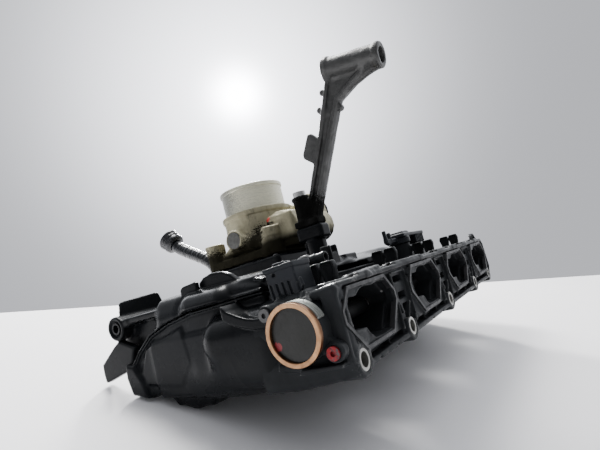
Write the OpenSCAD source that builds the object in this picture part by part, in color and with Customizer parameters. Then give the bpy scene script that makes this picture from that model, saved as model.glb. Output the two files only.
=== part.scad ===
// Four-port intake manifold with a motor-driven throttle, port flaps and a support arm.
// Origin: middle of the port row on the head face. +X runs along the ports,
// -Y points out of the head face, +Z runs up the throttle bore.

/* [Ports] */
// Distance between neighbouring ports
port_pitch = 88; // [84:0.5:92]
// Width of a port opening
port_w = 58; // [50:1:60]
// Height of a port opening
port_h = 25; // [22:1:27]
// Cut across the upper corners of a port opening
port_corner = 8; // [4:1:10]
// Cut across the lower corners, which clear the outermost bolts
port_low_corner = 13; // [12:1:14]
// Length of the port ducts, from the head face to the plenum shells
duct_len = 48; // [46:1:48]

/* [Head face bolts] */
// Distance of the outermost bolts from the middle
outer_bolt_x = 154; // [152:1:156]
// Height of the bolt row below the port centres
bolt_drop = 17.5; // [17:0.5:18.5]
// Inner radius of a compression limiter
limiter_r = 3.4; // [3.2:0.1:3.6]

/* [Port flaps] */
// Distance of the flap axis behind the head face
flap_y = 18.4; // [17:0.1:20]
// Height of the flap axis above the port centres
flap_z = 1.1; // [0.6:0.1:1.4]
// Radius of the flap shaft
flap_shaft_r = 3; // [2.5:0.1:3.2]
// Length of a flap from the shaft axis
flap_len = 12.8; // [11:0.1:13]

/* [Plenum] */
// Half the length of the plenum shells
shell_half = 150; // [150:1:152]
// Wall thickness of the plenum shells
wall = 3; // [2.5:0.5:3.5]

/* [Throttle] */
// Distance of the throttle bore behind the head face
throttle_y = 150; // [148:1:152]
// Radius of the throttle bore
bore_r = 26; // [24:0.5:26]
// Outer radius of the inlet tube
inlet_r = 28; // [28:0.1:28.5]
// Height of the top of the inlet tube
inlet_top = 116; // [115:1:118]
// Height of the throttle shaft axis
shaft_z = 69.5; // [69:0.5:70]
// Radius of the throttle shaft
shaft_r = 4; // [3.5:0.1:4]
// Thickness of the throttle plate
plate_t = 1.6; // [1.4:0.1:2]
// Half the spacing of the throttle bolts
throttle_bolt = 31; // [30.5:0.5:31.5]

/* [Gear train] */
// Module of the pinion and the large idler gear
fine_module = 0.8; // [0.8:0.1:0.8]
// Teeth on the pinion
pinion_teeth = 12; // [12:1:12]
// Teeth on the large idler gear
idler_teeth = 28; // [28:1:28]
// Module of the small idler gear and the sector
coarse_module = 1.2; // [1.2:0.1:1.2]
// Teeth on the small idler gear
small_teeth = 12; // [12:1:12]
// Teeth on a full circle of the sector gear
sector_teeth = 44; // [44:1:44]

/* [Support arm] */
// Place of the arm along the ports
arm_x = -35; // [-36:1:-34]
// Outer radius of the tube on top of the arm
tube_r = 8.6; // [8.4:0.1:9]
// Radius of the bore through that tube
tube_bore_r = 5.5; // [5:0.1:6]
// Length of that tube
tube_len = 44; // [42:1:46]
// Slope of that tube
tube_slope = 12; // [10:0.5:14]

/* [Hidden] */
$fn = 48;
eps = 0.5;                                   // how far a cut runs past a face
run_gap = 0.04;                              // radial gap of a running fit
port_xs = [for (i = [-1.5:1:1.5]) i * port_pitch];
gap_xs = [for (i = [-1:1]) i * port_pitch];  // middles of the gaps between ports
bolt_xs = concat([-outer_bolt_x], gap_xs, [outer_bolt_x]);
near_x = -165;                               // end face that carries the flap unit
far_x = 172;
port_end = 1.5 * port_pitch + port_w / 2;    // end of the port row
duct_wall = 4;
flap_half = 25;                              // half the width of a flap
seal_in = 0.6;                               // seal edges, beyond the port opening
seal_out = 2.3;
limiter_out_r = 5;
bush_r = 4.5;
bush_bore_r = flap_shaft_r + run_gap;
seam = [[48, 22.5], [102, 21.5], [122, 18.5], [139, 13.5], [152, 5], [163, -5]];
pad_top = 48;                                // face that the throttle body bolts to
base_z = 49;                                 // underside of the throttle body
pan_x = 39.5;                                // floor of the gear pan
fine_face = [pan_x + 0.7, pan_x + 3.7];      // X span of the pinion and the large idler
coarse_face = [pan_x + 4.2, pan_x + 8];      // X span of the sector
pan_rim_x = pan_x + 8.8;
cover_x = pan_rim_x + 3;                     // outside of the gear cover
motor_y = 112;
motor_z = 68;
motor_r = 9;
c_fine = fine_module * (pinion_teeth + idler_teeth) / 2;
c_coarse = coarse_module * (small_teeth + sector_teeth) / 2;
// The idler axis is where circles about the motor and the throttle shaft cross
axis_gap = norm([throttle_y - motor_y, shaft_z - motor_z]);
along = (c_fine * c_fine - c_coarse * c_coarse + axis_gap * axis_gap) / (2 * axis_gap);
across = sqrt(c_fine * c_fine - along * along);
line_dir = [throttle_y - motor_y, shaft_z - motor_z] / axis_gap;
idler_y = motor_y + along * line_dir[0] - across * line_dir[1];
idler_z = motor_z + along * line_dir[1] + across * line_dir[0];
pinion_to_idler = atan2(idler_z - motor_z, idler_y - motor_y);
sector_to_idler = atan2(idler_z - shaft_z, idler_y - throttle_y);
tube_mid = [arm_x, 9, 163];                  // middle of the tube on top of the arm
arm_foot_z = 61;
arm_bolt_y = 80;
sensor_at = [40, 40];                        // axis of the pressure sensor
pipe_x = -20;
pipe_r = 6;
pipe_route = [[195, 42], [195, 50], [197, 57], [204, 64], [215, 71], [227, 78], [236, 84], [241, 89]];
black = [0.09, 0.10, 0.11];
cast = [0.66, 0.66, 0.60];
steel = [0.72, 0.73, 0.75];

// ---- helpers ----

// Box between two corners
module span(low, high) translate(low) cube(high - low);
// Round rods along each axis, from a to b
module rod_x(a, b, y, z, r) translate([a, y, z]) rotate([0, 90, 0]) cylinder(h = b - a, r = r);
module rod_y(a, b, x, z, r) translate([x, a, z]) rotate([-90, 0, 0]) cylinder(h = b - a, r = r);
module rod_z(a, b, x, y, r) translate([x, y, a]) cylinder(h = b - a, r = r);
// A YZ outline stretched along X, and an XZ outline stretched along Y
module slab_x(a, b) translate([a, 0, 0]) rotate([90, 0, 90]) linear_extrude(b - a) children();
module slab_y(a, b) translate([0, b, 0]) rotate([90, 0, 0]) linear_extrude(b - a) children();

// Rectangle with its lower corners cut by low and its upper corners cut by c
module cut_rect(w, h, c, low) polygon([[-w / 2 + low, -h / 2], [w / 2 - low, -h / 2],
    [w / 2, -h / 2 + low], [w / 2, h / 2 - c], [w / 2 - c, h / 2], [-w / 2 + c, h / 2],
    [-w / 2, h / 2 - c], [-w / 2, -h / 2 + low]]);
module port_outline(grow = 0) cut_rect(port_w + 2 * grow, port_h + 2 * grow,
    port_corner + 0.6 * grow, port_low_corner + 0.6 * grow);

// A line of points closed to a strip that is dz high
function strip(line, dz) = concat(line, [for (i = [len(line) - 1:-1:0]) line[i] + [0, dz]]);

// Half the angle of an involute tooth at radius r
function inv(a) = tan(a) - a * PI / 180;
function half_tooth(m, z, r, slack) =
    let (base = m * z * cos(20) / 2, a = r > base ? acos(base / r) : 0)
    90 / z - slack / (m * z) * 180 / PI + (inv(20) - inv(a)) * 180 / PI;
// Outline of the teeth numbered first to last, the tooth numbered 0 pointing along +Y
module teeth(m, z, first, last, slack = 0.06) {
    root = m * (z / 2 - 1);
    tip = m * (z / 2 + 0.75);
    steps = 4;
    radii = [for (i = [0:steps]) max(root, m * z * cos(20) / 2) * (1 - i / steps) + tip * i / steps];
    for (k = [first:last]) rotate(k * 360 / z) polygon(concat(
        [for (r = radii) let (a = half_tooth(m, z, r, slack)) r * [cos(a), sin(a)]],
        [for (i = [steps:-1:0]) let (a = -half_tooth(m, z, radii[i], slack))
            radii[i] * [cos(a), sin(a)]],
        [let (a = -half_tooth(m, z, radii[0], slack)) (root - 1) * [cos(a), sin(a)],
         let (a = half_tooth(m, z, radii[0], slack)) (root - 1) * [cos(a), sin(a)]]));
}
module gear(a, b, y, z, m, n, phase, bore) translate([0, y, z]) difference() {
    union() {
        rod_x(a, b, 0, 0, m * (n / 2 - 1));
        slab_x(a, b) rotate(phase) teeth(m, n, 0, n - 1);
    }
    rod_x(a - eps, b + eps, 0, 0, bore);
}

// Tube swept along points of the YZ plane at x, with an even radius
function heading(p, i) = let (d = p[min(i + 1, len(p) - 1)] - p[max(i - 1, 0)]) d / norm(d);
module sweep_yz(x, route, r, sides = 16) {
    rings = [for (i = [0:len(route) - 1]) let (h = heading(route, i))
        for (s = [0:sides - 1]) let (a = 360 * s / sides)
            [x + r * cos(a), route[i][0] - r * sin(a) * h[1], route[i][1] + r * sin(a) * h[0]]];
    n = len(route);
    sides_quads = [for (i = [0:n - 2], s = [0:sides - 1]) let (t = (s + 1) % sides)
        [i * sides + t, (i + 1) * sides + t, (i + 1) * sides + s, i * sides + s]];
    ends = [[for (s = [sides - 1:-1:0]) s], [for (s = [0:sides - 1]) (n - 1) * sides + s]];
    polyhedron(rings, concat(sides_quads, ends), convexity = 6);
}

// ---- port flange and what it carries ----

module duct(x) translate([x, 0, 0]) slab_y(0, duct_len)
    cut_rect(port_w + 2 * duct_wall, port_h + 2 * duct_wall, port_corner + 1, port_corner + 1);
// Pair of upright lobes on top of each duct
module lobes(x) {
    span([x - 1.5, 14, 15], [x + 1.5, 22, 28]);
    span([x - 1.5, 23.2, 15], [x + 1.5, 31, 28]);
    span([x - 1.5, 14, 15], [x + 1.5, 31, 19]);
}
module port_flange() color(black) difference() {
    union() {
        slab_y(0, 7) polygon([[near_x, -15], [near_x + 6, -22], [far_x - 12, -22], [far_x, -12],
            [far_x, 12], [far_x - 6, 17.5], [near_x + 4, 17.5], [near_x, 13]]);
        for (x = port_xs) {
            duct(x);
            lobes(x);
            rod_y(0, 16, x + 6, 15.5, 4);
        }
        for (x = gap_xs) rod_x(x - 16, x + 16, flap_y, flap_z, 6.5);
        // boss and post of the pressure sensor
        rod_z(12, 31, sensor_at[0], sensor_at[1], 8);
        rod_z(12, 36, 55, 40, 3.8);
        span([near_x, 0, -15], [-port_end, 30, 15]);
        for (s = sensor_screws) rod_x(near_x, near_x + 12, s[0], s[1], 4.2);
        span([port_end, 0, -12], [far_x, 30, 13]);
        span([near_x + 3, 0, 14], [far_x - 8, 11, 18.5]);
        span([near_x + 8, 0, -21.5], [far_x - 12, 13, -16]);
        span([near_x, 6, -24.5], [-port_end + 3, duct_len, -14]);
        span([near_x - 4, 2, -17], [near_x + 3, 40, -15]);
        for (x = bolt_xs) rod_y(0, 20, x, -bolt_drop, 8);
        for (s = [-1, 1], x = gap_xs) span([x + s * 11 - 1, 0, -17], [x + s * 11 + 1, 24, 16]);
    }
    for (x = port_xs) {
        translate([x, 0, 0]) slab_y(-eps, duct_len + eps) port_outline();
        translate([x, 0, 0]) slab_y(-eps, 2.2) difference() {
            port_outline(seal_out + 0.1);
            port_outline(seal_in - 0.1);
        }
    }
    for (x = bolt_xs) rod_y(-eps, 21, x, -bolt_drop, limiter_out_r);
    for (x = gap_xs) {
        rod_x(x - 20, x + 20, flap_y, flap_z, bush_r);
        for (z = [6, -7]) span([x - 7, -eps, z], [x + 7, 6 + 2, z + 5]);
    }
    rod_x(near_x - eps, -port_end + 5, flap_y, flap_z, bush_r);
    rod_x(port_end - 5, port_end + 9, flap_y, flap_z, bush_r);
    for (s = sensor_screws) rod_x(near_x - eps, near_x + 8, s[0], s[1], 1.5);
    rod_z(10, 31 + eps, sensor_at[0], sensor_at[1], 5);
    rod_z(22, 36 + eps, 55, 40, 2);
}

module port_seal(i) color("#1d1d1f") translate([port_xs[i], 0, 0]) slab_y(-0.8, 2.2) difference() {
    port_outline(seal_out);
    port_outline(seal_in);
}

module compression_limiters() color(steel) for (x = bolt_xs) difference() {
    rod_y(0, 20, x, -bolt_drop, limiter_out_r - 0.01);
    rod_y(-eps, 21, x, -bolt_drop, limiter_r);
}

// ---- port flaps ----

bush_spans = concat([[near_x - 2.5, -port_end]],
    [for (x = gap_xs) [x - 15, x + 15]], [[port_end, port_end + 8]]);
module flap_bushings() color("#c9b58a") for (b = bush_spans) difference() {
    rod_x(b[0], b[1], flap_y, flap_z, bush_r - 0.01);
    rod_x(b[0] - eps, b[1] + eps, flap_y, flap_z, bush_bore_r);
}
module flap_shaft() color(steel) rod_x(near_x - 6, port_end + 8, flap_y, flap_z, flap_shaft_r);
// A plate on a sleeve, lying along the port when open; its corners follow the port's
module flap(i) color("#2b2c2e") translate([port_xs[i], flap_y, flap_z]) difference() {
    union() {
        rod_x(-flap_half, flap_half, 0, 0, 4.4);
        translate([0, 0, -1.1]) linear_extrude(2.2) polygon([[-flap_half, 0], [-flap_half, 2],
            [-15.2, flap_len], [15.2, flap_len], [flap_half, 2], [flap_half, 0]]);
        for (x = [-13, 0, 13]) span([x - 0.8, 0, -2.4], [x + 0.8, flap_len - 3, 0]);
    }
    rod_x(-30, 30, 0, 0, flap_shaft_r);
}

// ---- flap position sensor on the near end ----

sensor_screws = [[33.9, 11.4], [4.1, -9.7]];
module flap_sensor_housing() color(black) difference() {
    union() {
        rod_x(near_x - 9, near_x, flap_y, flap_z, 13.2);
        for (s = sensor_screws) {
            rod_x(near_x - 5, near_x, s[0], s[1], 4.2);
            slab_x(near_x - 5, near_x) polygon([s, [s[0], s[1]] * 0.5 + [flap_y, flap_z] * 0.5 + [0, 7],
                [flap_y, flap_z], [s[0], s[1]] * 0.5 + [flap_y, flap_z] * 0.5 - [0, 7]]);
        }
    }
    rod_x(near_x - 9 - eps, near_x - 3, flap_y, flap_z, 11.9);
    rod_x(near_x - 4, near_x + eps, flap_y, flap_z, bush_r);
    for (s = sensor_screws) rod_x(near_x - 6, near_x + eps, s[0], s[1], 1.7);
}
module flap_sensor_rotor() color("#3a3b3d") difference() {
    union() {
        rod_x(near_x - 6, near_x - 3.3, flap_y, flap_z, 9);
        rod_x(near_x - 6.6, near_x - 5.9, flap_y + 5, flap_z, 2);
    }
    rod_x(near_x - 6, near_x - 3, flap_y, flap_z, flap_shaft_r);
}
module flap_sensor_board() color("darkgreen") rod_x(near_x - 8.4, near_x - 7, flap_y, flap_z, 11.8);
module flap_sensor_disc() color("#3f3f36") rod_x(near_x - 9.9, near_x - 8.4, flap_y, flap_z, 11.5);
module flap_sensor_ring() color("#c88c5f") difference() {
    rod_x(near_x - 11.5, near_x - 9, flap_y, flap_z, 13.75);
    rod_x(near_x - 12, near_x - 8, flap_y, flap_z, 11.6);
}
module flap_sensor_screws() color("#8c3f40") for (s = sensor_screws) difference() {
    union() {
        rod_x(near_x - 7.2, near_x - 5, s[0], s[1], 3);
        rod_x(near_x - 5, near_x + 7, s[0], s[1], 1.5);
    }
    rod_x(near_x - 8, near_x - 5.9, s[0], s[1], 1.3, $fn = 6);
}

sock = [[-154, 24, 16.5], [-138, 42.5, 32]];   // corners of the connector shell
module sensor_connector() color(black) difference() {
    span(sock[0], sock[1]);
    span(sock[0] + [2, 7.5, 5], sock[1] - [2, -1, 2]);
    for (y = [27, 31, 35]) span([-155, y, 18], [-153, y + 1.6, 24]);
}
module sensor_pins() color("#c8a24a") for (x = [-149, -146, -143])
    span([x - 0.4, 31.5, 25], [x + 0.4, 37, 27]);
module vacuum_nipple() color(black) difference() {
    union() {
        rod_z(16.5, 36, -115, 43, 4);
        rod_y(39, 43, -115, 31.7, 4.2);
        rod_y(27, 43, -115, 31.7, 3.25);
    }
    rod_y(26.5, 43, -115, 31.7, 2);
}

// ---- plenum shells ----

// Runner bulge on the outside of an end wall: side is -1 or 1
module bulge(side, r, last) {
    rod_y(48 - eps, last, side * 151, 1, r);
    translate([side * 151, last, 1]) sphere(r);
}
module lower_shell() color(black) difference() {
    union() {
        slab_x(-shell_half, shell_half) polygon(concat(seam, [[164.5, -14], [160, -21], [153, -24],
            [140, -22], [126, -26], [99, -28], [72, -28], [48, -24.5]]));
        slab_x(-shell_half - 4, shell_half + 4) polygon(strip(seam, -2));
        for (s = [-1, 1]) intersection() {
            bulge(s, 13, 86);
            span([-170, 48, -20], [170, 110, 20]);
        }
        for (s = [-1, 1]) translate([s * 155, 0, 0]) span([-10, 48, -16.5], [10, 56, 16.5]);
        // feet: rounded drums under each end
        for (x = [-shell_half + 4, shell_half - 44]) rod_x(x, x + 40, 118, -21, 11);
        // curved fin over the bulge
        intersection() {
            difference() {
                rod_x(-160, -148, 60, 27, 22.5);
                rod_x(-161, -147, 60, 27, 20);
            }
            span([-161, 50, 0], [-147, 84, 20]);
        }
    }
    slab_x(-shell_half + wall, shell_half - wall) polygon([[96, 45], [96, -25], [126, -23],
        [140, -19], [152, -21], [158, -18.5], [160.5, -13], [160, -4], [160, 45]]);
    for (s = [-1, 1]) bulge(s, 10, 86);
    for (x = port_xs) {
        translate([x, 0, 0]) slab_y(47, 58) port_outline();
        span([max(x - port_w / 2, -shell_half + wall), 57, -20],
            [min(x + port_w / 2, shell_half - wall), 97, 45]);
    }
    for (x = gap_xs) span([x - 11, 52, -35], [x + 11, 92, 16]);
}

module upper_shell() color(black) difference() {
    union() {
        slab_x(-shell_half, shell_half) polygon(concat([for (i = [len(seam) - 1:-1:0]) seam[i]],
            [[48, 27], [70, 31.5], [100, 33], [140, 33], [168, 32], [178, 29], [181, 22],
            [179, 14], [172, 2], [167, -5]]));
        slab_x(-shell_half - 4, shell_half + 4) polygon(strip(seam, 2));
        // throttle pad and the block behind it that takes the breather pipe
        span([-41, 109, 26], [37, 191, pad_top]);
        span([-30, 180, 20], [-10, 203, pad_top]);
        // pillar under the support arm
        span([arm_x - 5, 69, 28], [arm_x + 5, 85, 50]);
        span([arm_x - 7, 65, 49.5], [arm_x + 7, 88, arm_foot_z]);
        // boss and tab on the near end, lug behind it
        rod_x(-150, -116, 173, 23, 8);
        span([-150, 128, 30], [-147, 164, 38.5]);
        slab_x(-150, -141) polygon([[164, 8], [176, 10], [190, 0], [190, -10], [170, -4], [164, -4]]);
        // arch and tab beside the first runner
        difference() {
            rod_x(-152, -140, 75.5, 20, 18.4);
            rod_x(-153, -139, 75.5, 20, 15.6);
            span([-153, 50, 0], [-139, 100, 26]);
        }
        span([-150, 92, 30], [-147, 104, 37]);
        // domes over the runners
        for (x = port_xs) translate([x, 0, 0]) difference() {
            rod_y(60, 104, 0, 12, 24);
            span([-40, 50, -20], [40, 120, 26]);
        }
        // small clip blocks near the port row
        span([-66, 50, 28], [-54, 58, 41]);
        span([-46, 50, 28], [-27, 60, 33]);
    }
    slab_x(-shell_half + wall, shell_half - wall) polygon([[96, -10], [96, 29.5], [140, 30],
        [167, 29], [176, 26.5], [178, 22], [176, 15], [169.5, 4], [165.5, -2], [160, -2], [160, -10]]);
    for (x = port_xs) span([max(x - port_w / 2, -shell_half + wall), 56, 8],
        [min(x + port_w / 2, shell_half - wall), 97, 28]);
    rod_z(20, pad_top + eps, 0, throttle_y, bore_r);
    for (x = [-1, 1], y = [-1, 1])
        rod_z(36, pad_top + eps, x * throttle_bolt, throttle_y + y * throttle_bolt, 4);
    rod_x(-151, -136, 173, 23, 4);
    rod_z(42, pad_top + eps, pipe_x, 195, pipe_r + 0.02);
    rod_z(20, 43, pipe_x, 195, 4);
    rod_z(47, arm_foot_z + eps, arm_x, arm_bolt_y, 4);
}
module end_boss_insert() color("#b08d4a") difference() {
    rod_x(-149.5, -137, 173, 23, 3.99);
    rod_x(-150, -136, 173, 23, 2.55);
}

// ---- throttle body ----

// Outline of the gear case: circles about the motor, the idler and the throttle shaft
module pan_outline(a, b, grow) {
    rod_x(a, b, motor_y, motor_z, 9.5 + grow);
    rod_x(a, b, idler_y, idler_z, 15.5 + grow);
    rod_x(a, b, throttle_y, shaft_z, 31 + grow);
    for (c = [[motor_y, motor_z], [idler_y, idler_z]])
        slab_x(a, b) polygon([c + [0, 7 + grow], c - [0, 7 + grow],
            [throttle_y, shaft_z - 20 - grow], [throttle_y, shaft_z + 20 + grow]]);
}

module throttle_gasket() color("#1d1d1f") difference() {
    rod_z(pad_top, base_z, 0, throttle_y, 33);
    rod_z(pad_top - 1, base_z + 1, 0, throttle_y, 29);
}
corners = [for (x = [-1, 1], y = [-1, 1]) [x * throttle_bolt, throttle_y + y * throttle_bolt]];
module throttle_inserts() color("#b08d4a") for (c = corners) difference() {
    rod_z(36, pad_top, c[0], c[1], 3.99);
    rod_z(35, pad_top + 1, c[0], c[1], 3);
}
module throttle_body() color(cast) difference() {
    union() {
        span([-31, 111, base_z], [31, 189, 56]);
        span([-39, 119, base_z], [39, 181, 56]);
        for (c = corners) rod_z(base_z, 72, c[0], c[1], 8);
        rod_z(base_z, 93, 0, throttle_y, 31);
        rod_z(89, 93, 0, throttle_y, 31.6);
        rod_z(93, inlet_top, 0, throttle_y, inlet_r);
        rod_x(-41, -26, throttle_y, shaft_z, 8.5);
        rod_x(26, pan_x, throttle_y, shaft_z, 11);
        // block round the drive motor, and the gear pan on its end
        rod_x(-25, pan_x, motor_y - 2, motor_z, 15);
        span([-24, 96, 53], [12, 124, 74]);
        pan_outline(38, pan_rim_x, 0);
        for (c = cover_points) rod_x(pan_x + 2, pan_rim_x, c[0], c[1], 4);
        rod_x(31, 38, idler_y, idler_z, 5);
    }
    rod_z(base_z - eps, inlet_top + eps, 0, throttle_y, bore_r);
    pan_outline(pan_x, pan_rim_x + eps, -2.5);
    rod_x(-26, 23, motor_y, motor_z, motor_r + 0.2);
    rod_x(22, 26, motor_y, motor_z, 4.2);
    rod_x(25, pan_x + eps, motor_y, motor_z, 2.2);
    rod_x(-42, 0, throttle_y, shaft_z, shaft_r + run_gap);
    rod_x(-42, -30, throttle_y, shaft_z, 7);
    rod_x(0, pan_x + eps, throttle_y, shaft_z, shaft_r + run_gap);
    rod_x(30, pan_x + eps, throttle_y, shaft_z, 8);
    rod_x(33, pan_x + eps, idler_y, idler_z, 2);
    for (c = corners) {
        rod_z(base_z - eps, 73, c[0], c[1], 3.3);
        rod_z(66, 73, c[0], c[1], 5.4);
    }
    for (c = cover_points) rod_x(pan_x + 4, pan_rim_x + eps, c[0], c[1], 1.5);
}
module throttle_bolts() color(steel) for (c = corners) difference() {
    union() {
        rod_z(66, 72, c[0], c[1], 5);
        rod_z(37, 66, c[0], c[1], 3);
    }
    rod_z(69, 73, c[0], c[1], 2.9, $fn = 6);
}
module shaft_bearings() color(steel) {
    difference() {
        rod_x(-38.5, -30, throttle_y, shaft_z, 6.99);
        rod_x(-39, -29, throttle_y, shaft_z, shaft_r + run_gap);
    }
    difference() {
        rod_x(30, 37, throttle_y, shaft_z, 7.99);
        rod_x(29, 38, throttle_y, shaft_z, shaft_r + run_gap);
    }
}
module throttle_shaft() color(steel) difference() {
    rod_x(-38, pan_x + 8.4, throttle_y, shaft_z, shaft_r);
    span([-bore_r, throttle_y - 5, shaft_z - plate_t / 2], [bore_r, throttle_y + 5, shaft_z + plate_t / 2]);
    for (x = [-12, 12]) rod_z(60, 80, x, throttle_y, 1.4);
}
module shaft_end_plug() color("#45443f") rod_x(-41, -39.2, throttle_y, shaft_z, 6.99);
module throttle_plate() color("#b9a878") difference() {
    rod_z(shaft_z - plate_t / 2, shaft_z + plate_t / 2, 0, throttle_y, bore_r - 0.08);
    for (x = [-12, 12]) rod_z(60, 80, x, throttle_y, 1.4);
}
module plate_screws() color(steel) for (x = [-12, 12]) {
    rod_z(shaft_z - 4.4, shaft_z + shaft_r, x, throttle_y, 1.39);
    rod_z(shaft_z + shaft_r, shaft_z + shaft_r + 1.6, x, throttle_y, 2.6);
}

// ---- throttle drive ----

module sector_gear() color("#d8d2bd") translate([0, throttle_y, shaft_z]) difference() {
    union() {
        rod_x(coarse_face[0] - 0.3, coarse_face[1] + 0.4, 0, 0, 8);
        slab_x(coarse_face[0], coarse_face[1]) rotate(sector_to_idler) {
            teeth(coarse_module, sector_teeth, -13, 1);
            polygon(concat([[0, 0]], [for (a = [-112:8:16]) 25.3 * [cos(a), sin(a)]]));
        }
    }
    rod_x(pan_x, pan_x + 9, 0, 0, shaft_r);
}
module return_spring() color(steel) difference() {
    union() for (i = [0:1]) translate([pan_x + 1.3 + 1.5 * i, throttle_y, shaft_z]) rotate([0, 90, 0])
        rotate_extrude() translate([9.2, 0]) circle(0.76, $fn = 16);
    rod_x(pan_x - 1, pan_x + 6, throttle_y, shaft_z, 5);
}
module idler_axle() color(steel) rod_x(33, pan_x + 8.4, idler_y, idler_z, 1.99);
module idler_gear() color("#e8e2cf") {
    gear(fine_face[0], fine_face[1], idler_y, idler_z, fine_module, idler_teeth, pinion_to_idler + 180
        + 180 / idler_teeth, 1.99 + run_gap);
    gear(fine_face[1], coarse_face[1] + 0.2, idler_y, idler_z, coarse_module, small_teeth, sector_to_idler + 180
        + 180 / small_teeth, 1.99 + run_gap);
}
module throttle_motor() color("#8f9194") difference() {
    union() {
        rod_x(-22, 22, motor_y, motor_z, motor_r);
        rod_x(22, 25, motor_y, motor_z, 4);
    }
    rod_x(10, 26, motor_y, motor_z, 1.5 + run_gap);
}
module motor_pinion() color("#c8a24a") {
    rod_x(12, fine_face[1] + 0.5, motor_y, motor_z, 1.5);
    gear(fine_face[0], fine_face[1], motor_y, motor_z, fine_module, pinion_teeth, pinion_to_idler, 1.4);
}
module motor_end_cap() color(cast) rod_x(-25, -22.2, motor_y, motor_z, motor_r + 0.19);

cover_points = [[124, 54], [118, 98.5], [173, 92.5], [173, 46.5]];   // screws of the gear cover
module gear_cover() color(black) difference() {
    union() {
        pan_outline(pan_rim_x, cover_x, 0);
        for (c = cover_points) rod_x(pan_rim_x, cover_x + 0.5, c[0], c[1], 4);
        span([cover_x - 1, 140, 46], [cover_x + 16, 164, 66]);
    }
    pan_outline(pan_rim_x - eps, cover_x - 1.6, -5);
    span([cover_x + 2, 142, 48], [cover_x + 17, 162, 64]);
    for (c = cover_points) rod_x(pan_rim_x - 1, cover_x + 1, c[0], c[1], 1.7);
}
module cover_screws() color(steel) for (c = cover_points) difference() {
    union() {
        rod_x(cover_x + 0.5, cover_x + 2.5, c[0], c[1], 3);
        rod_x(pan_x + 4.5, cover_x + 0.5, c[0], c[1], 1.49);
    }
    rod_x(cover_x + 1.5, cover_x + 3, c[0], c[1], 1.2, $fn = 6);
}
module throttle_pins() color("#c8a24a") for (y = [146, 150, 154, 158], z = [52, 58])
    span([cover_x + 2, y, z], [cover_x + 12, y + 1, z + 1]);

// ---- support arm ----

// Edges of the blade, from the tube down to the foot
arm_back = [[31, 160], [40, 141], [48, 124], [70, 82], [86, 66], [86, arm_foot_z]];
arm_front = [[69, arm_foot_z], [62, 76], [45, 107], [30, 134], [25, 142], [-2, 154]];
module support_arm() color("#6d6d69") difference() {
    union() {
        translate(tube_mid) rotate([90 + tube_slope, 0, 0])
            cylinder(h = tube_len, r = tube_r, center = true);
        slab_x(arm_x - 2.5, arm_x + 2.5) polygon(concat(arm_back, arm_front, [[4, 162]]));
        // ribs along both edges of the blade
        slab_x(arm_x - 5, arm_x + 5) polygon(concat([for (i = [0:3]) arm_back[i]],
            [for (i = [3:-1:0]) arm_back[i] - [3.6, 1.2]]));
        slab_x(arm_x - 5, arm_x + 5) polygon(concat([for (i = [0:5]) arm_front[i]],
            [for (i = [5:-1:0]) arm_front[i] + [3.6, 1.2]]));
        span([arm_x - 6, 67, arm_foot_z], [arm_x + 6, 87, arm_foot_z + 5]);
        rod_z(arm_foot_z, 85, arm_x, arm_bolt_y, 6);
        slab_x(arm_x - 5, arm_x - 1) polygon([[50, 121], [56, 127], [65, 112], [58, 104]]);
    }
    translate(tube_mid) rotate([90 + tube_slope, 0, 0])
        cylinder(h = tube_len + 2, r = tube_bore_r, center = true);
    rod_z(arm_foot_z - 1, 86, arm_x, arm_bolt_y, 3.3);
}
module arm_bolt() color(steel) difference() {
    union() {
        rod_z(85, 89, arm_x, arm_bolt_y, 5);
        rod_z(49, 85, arm_x, arm_bolt_y, 3);
    }
    rod_z(87, 90, arm_x, arm_bolt_y, 2.9, $fn = 6);
}
module arm_insert() color("#b08d4a") difference() {
    rod_z(47.5, arm_foot_z, arm_x, arm_bolt_y, 3.99);
    rod_z(47, arm_foot_z + 1, arm_x, arm_bolt_y, 3);
}

// ---- pressure sensor and breather pipe ----

module map_sensor() color(black) {
    difference() {
        union() {
            rod_z(31, 36, sensor_at[0], sensor_at[1], 9.5);
            rod_z(17, 31, sensor_at[0], sensor_at[1], 4.95);
            span([30, 31, 36], [85, 48, 39.5]);
            span([62, 32, 29], [85, 47, 37]);
        }
        span([66, 34.5, 30.5], [86, 44.5, 36]);
        rod_z(30, 41, 55, 40, 2.1);
        rod_z(16, 34, sensor_at[0], sensor_at[1], 2.5);
    }
    // harness clip with two prongs
    span([8, 38, 33], [31, 41, 36.5]);
    span([8, 38, 33], [11, 41, 44]);
    span([17, 38, 33], [20, 41, 42]);
}
module map_sensor_pins() color("#c8a24a") for (y = [37, 39.5, 42])
    span([66, y, 32.6], [73, y + 0.8, 33.4]);
module map_sensor_screw() color(steel) difference() {
    union() {
        rod_z(39.5, 42, 55, 40, 3.4);
        rod_z(23, 39.5, 55, 40, 2);
    }
    rod_z(40.8, 43, 55, 40, 1.4, $fn = 6);
}
module breather_pipe() color("#17181a") difference() {
    sweep_yz(pipe_x, pipe_route, pipe_r);
    sweep_yz(pipe_x, concat([pipe_route[0] - [0, 2]], [for (i = [1:len(pipe_route) - 2]) pipe_route[i]],
        [pipe_route[len(pipe_route) - 1] + [2, 2]]), pipe_r - 1.8);
}
mouth = [pipe_x, 241, 89];
mouth_tilt = [-45, 0, 0];
module pipe_coupling() color("#17181a") translate(mouth) rotate(mouth_tilt) difference() {
    union() {
        cylinder(h = 9, r = 10);
        translate([0, 0, 8]) cylinder(h = 2.5, r = 11);
    }
    translate([0, 0, -1]) cylinder(h = 14, r = 4.2);
    translate([0, 0, 2]) cylinder(h = 10, r = 8);
}
module coupling_seal() color("#1f3fae") translate(mouth) rotate(mouth_tilt) difference() {
    translate([0, 0, 2]) cylinder(h = 5, r = 7.95);
    translate([0, 0, 1]) cylinder(h = 8, r = 5);
}

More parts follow.
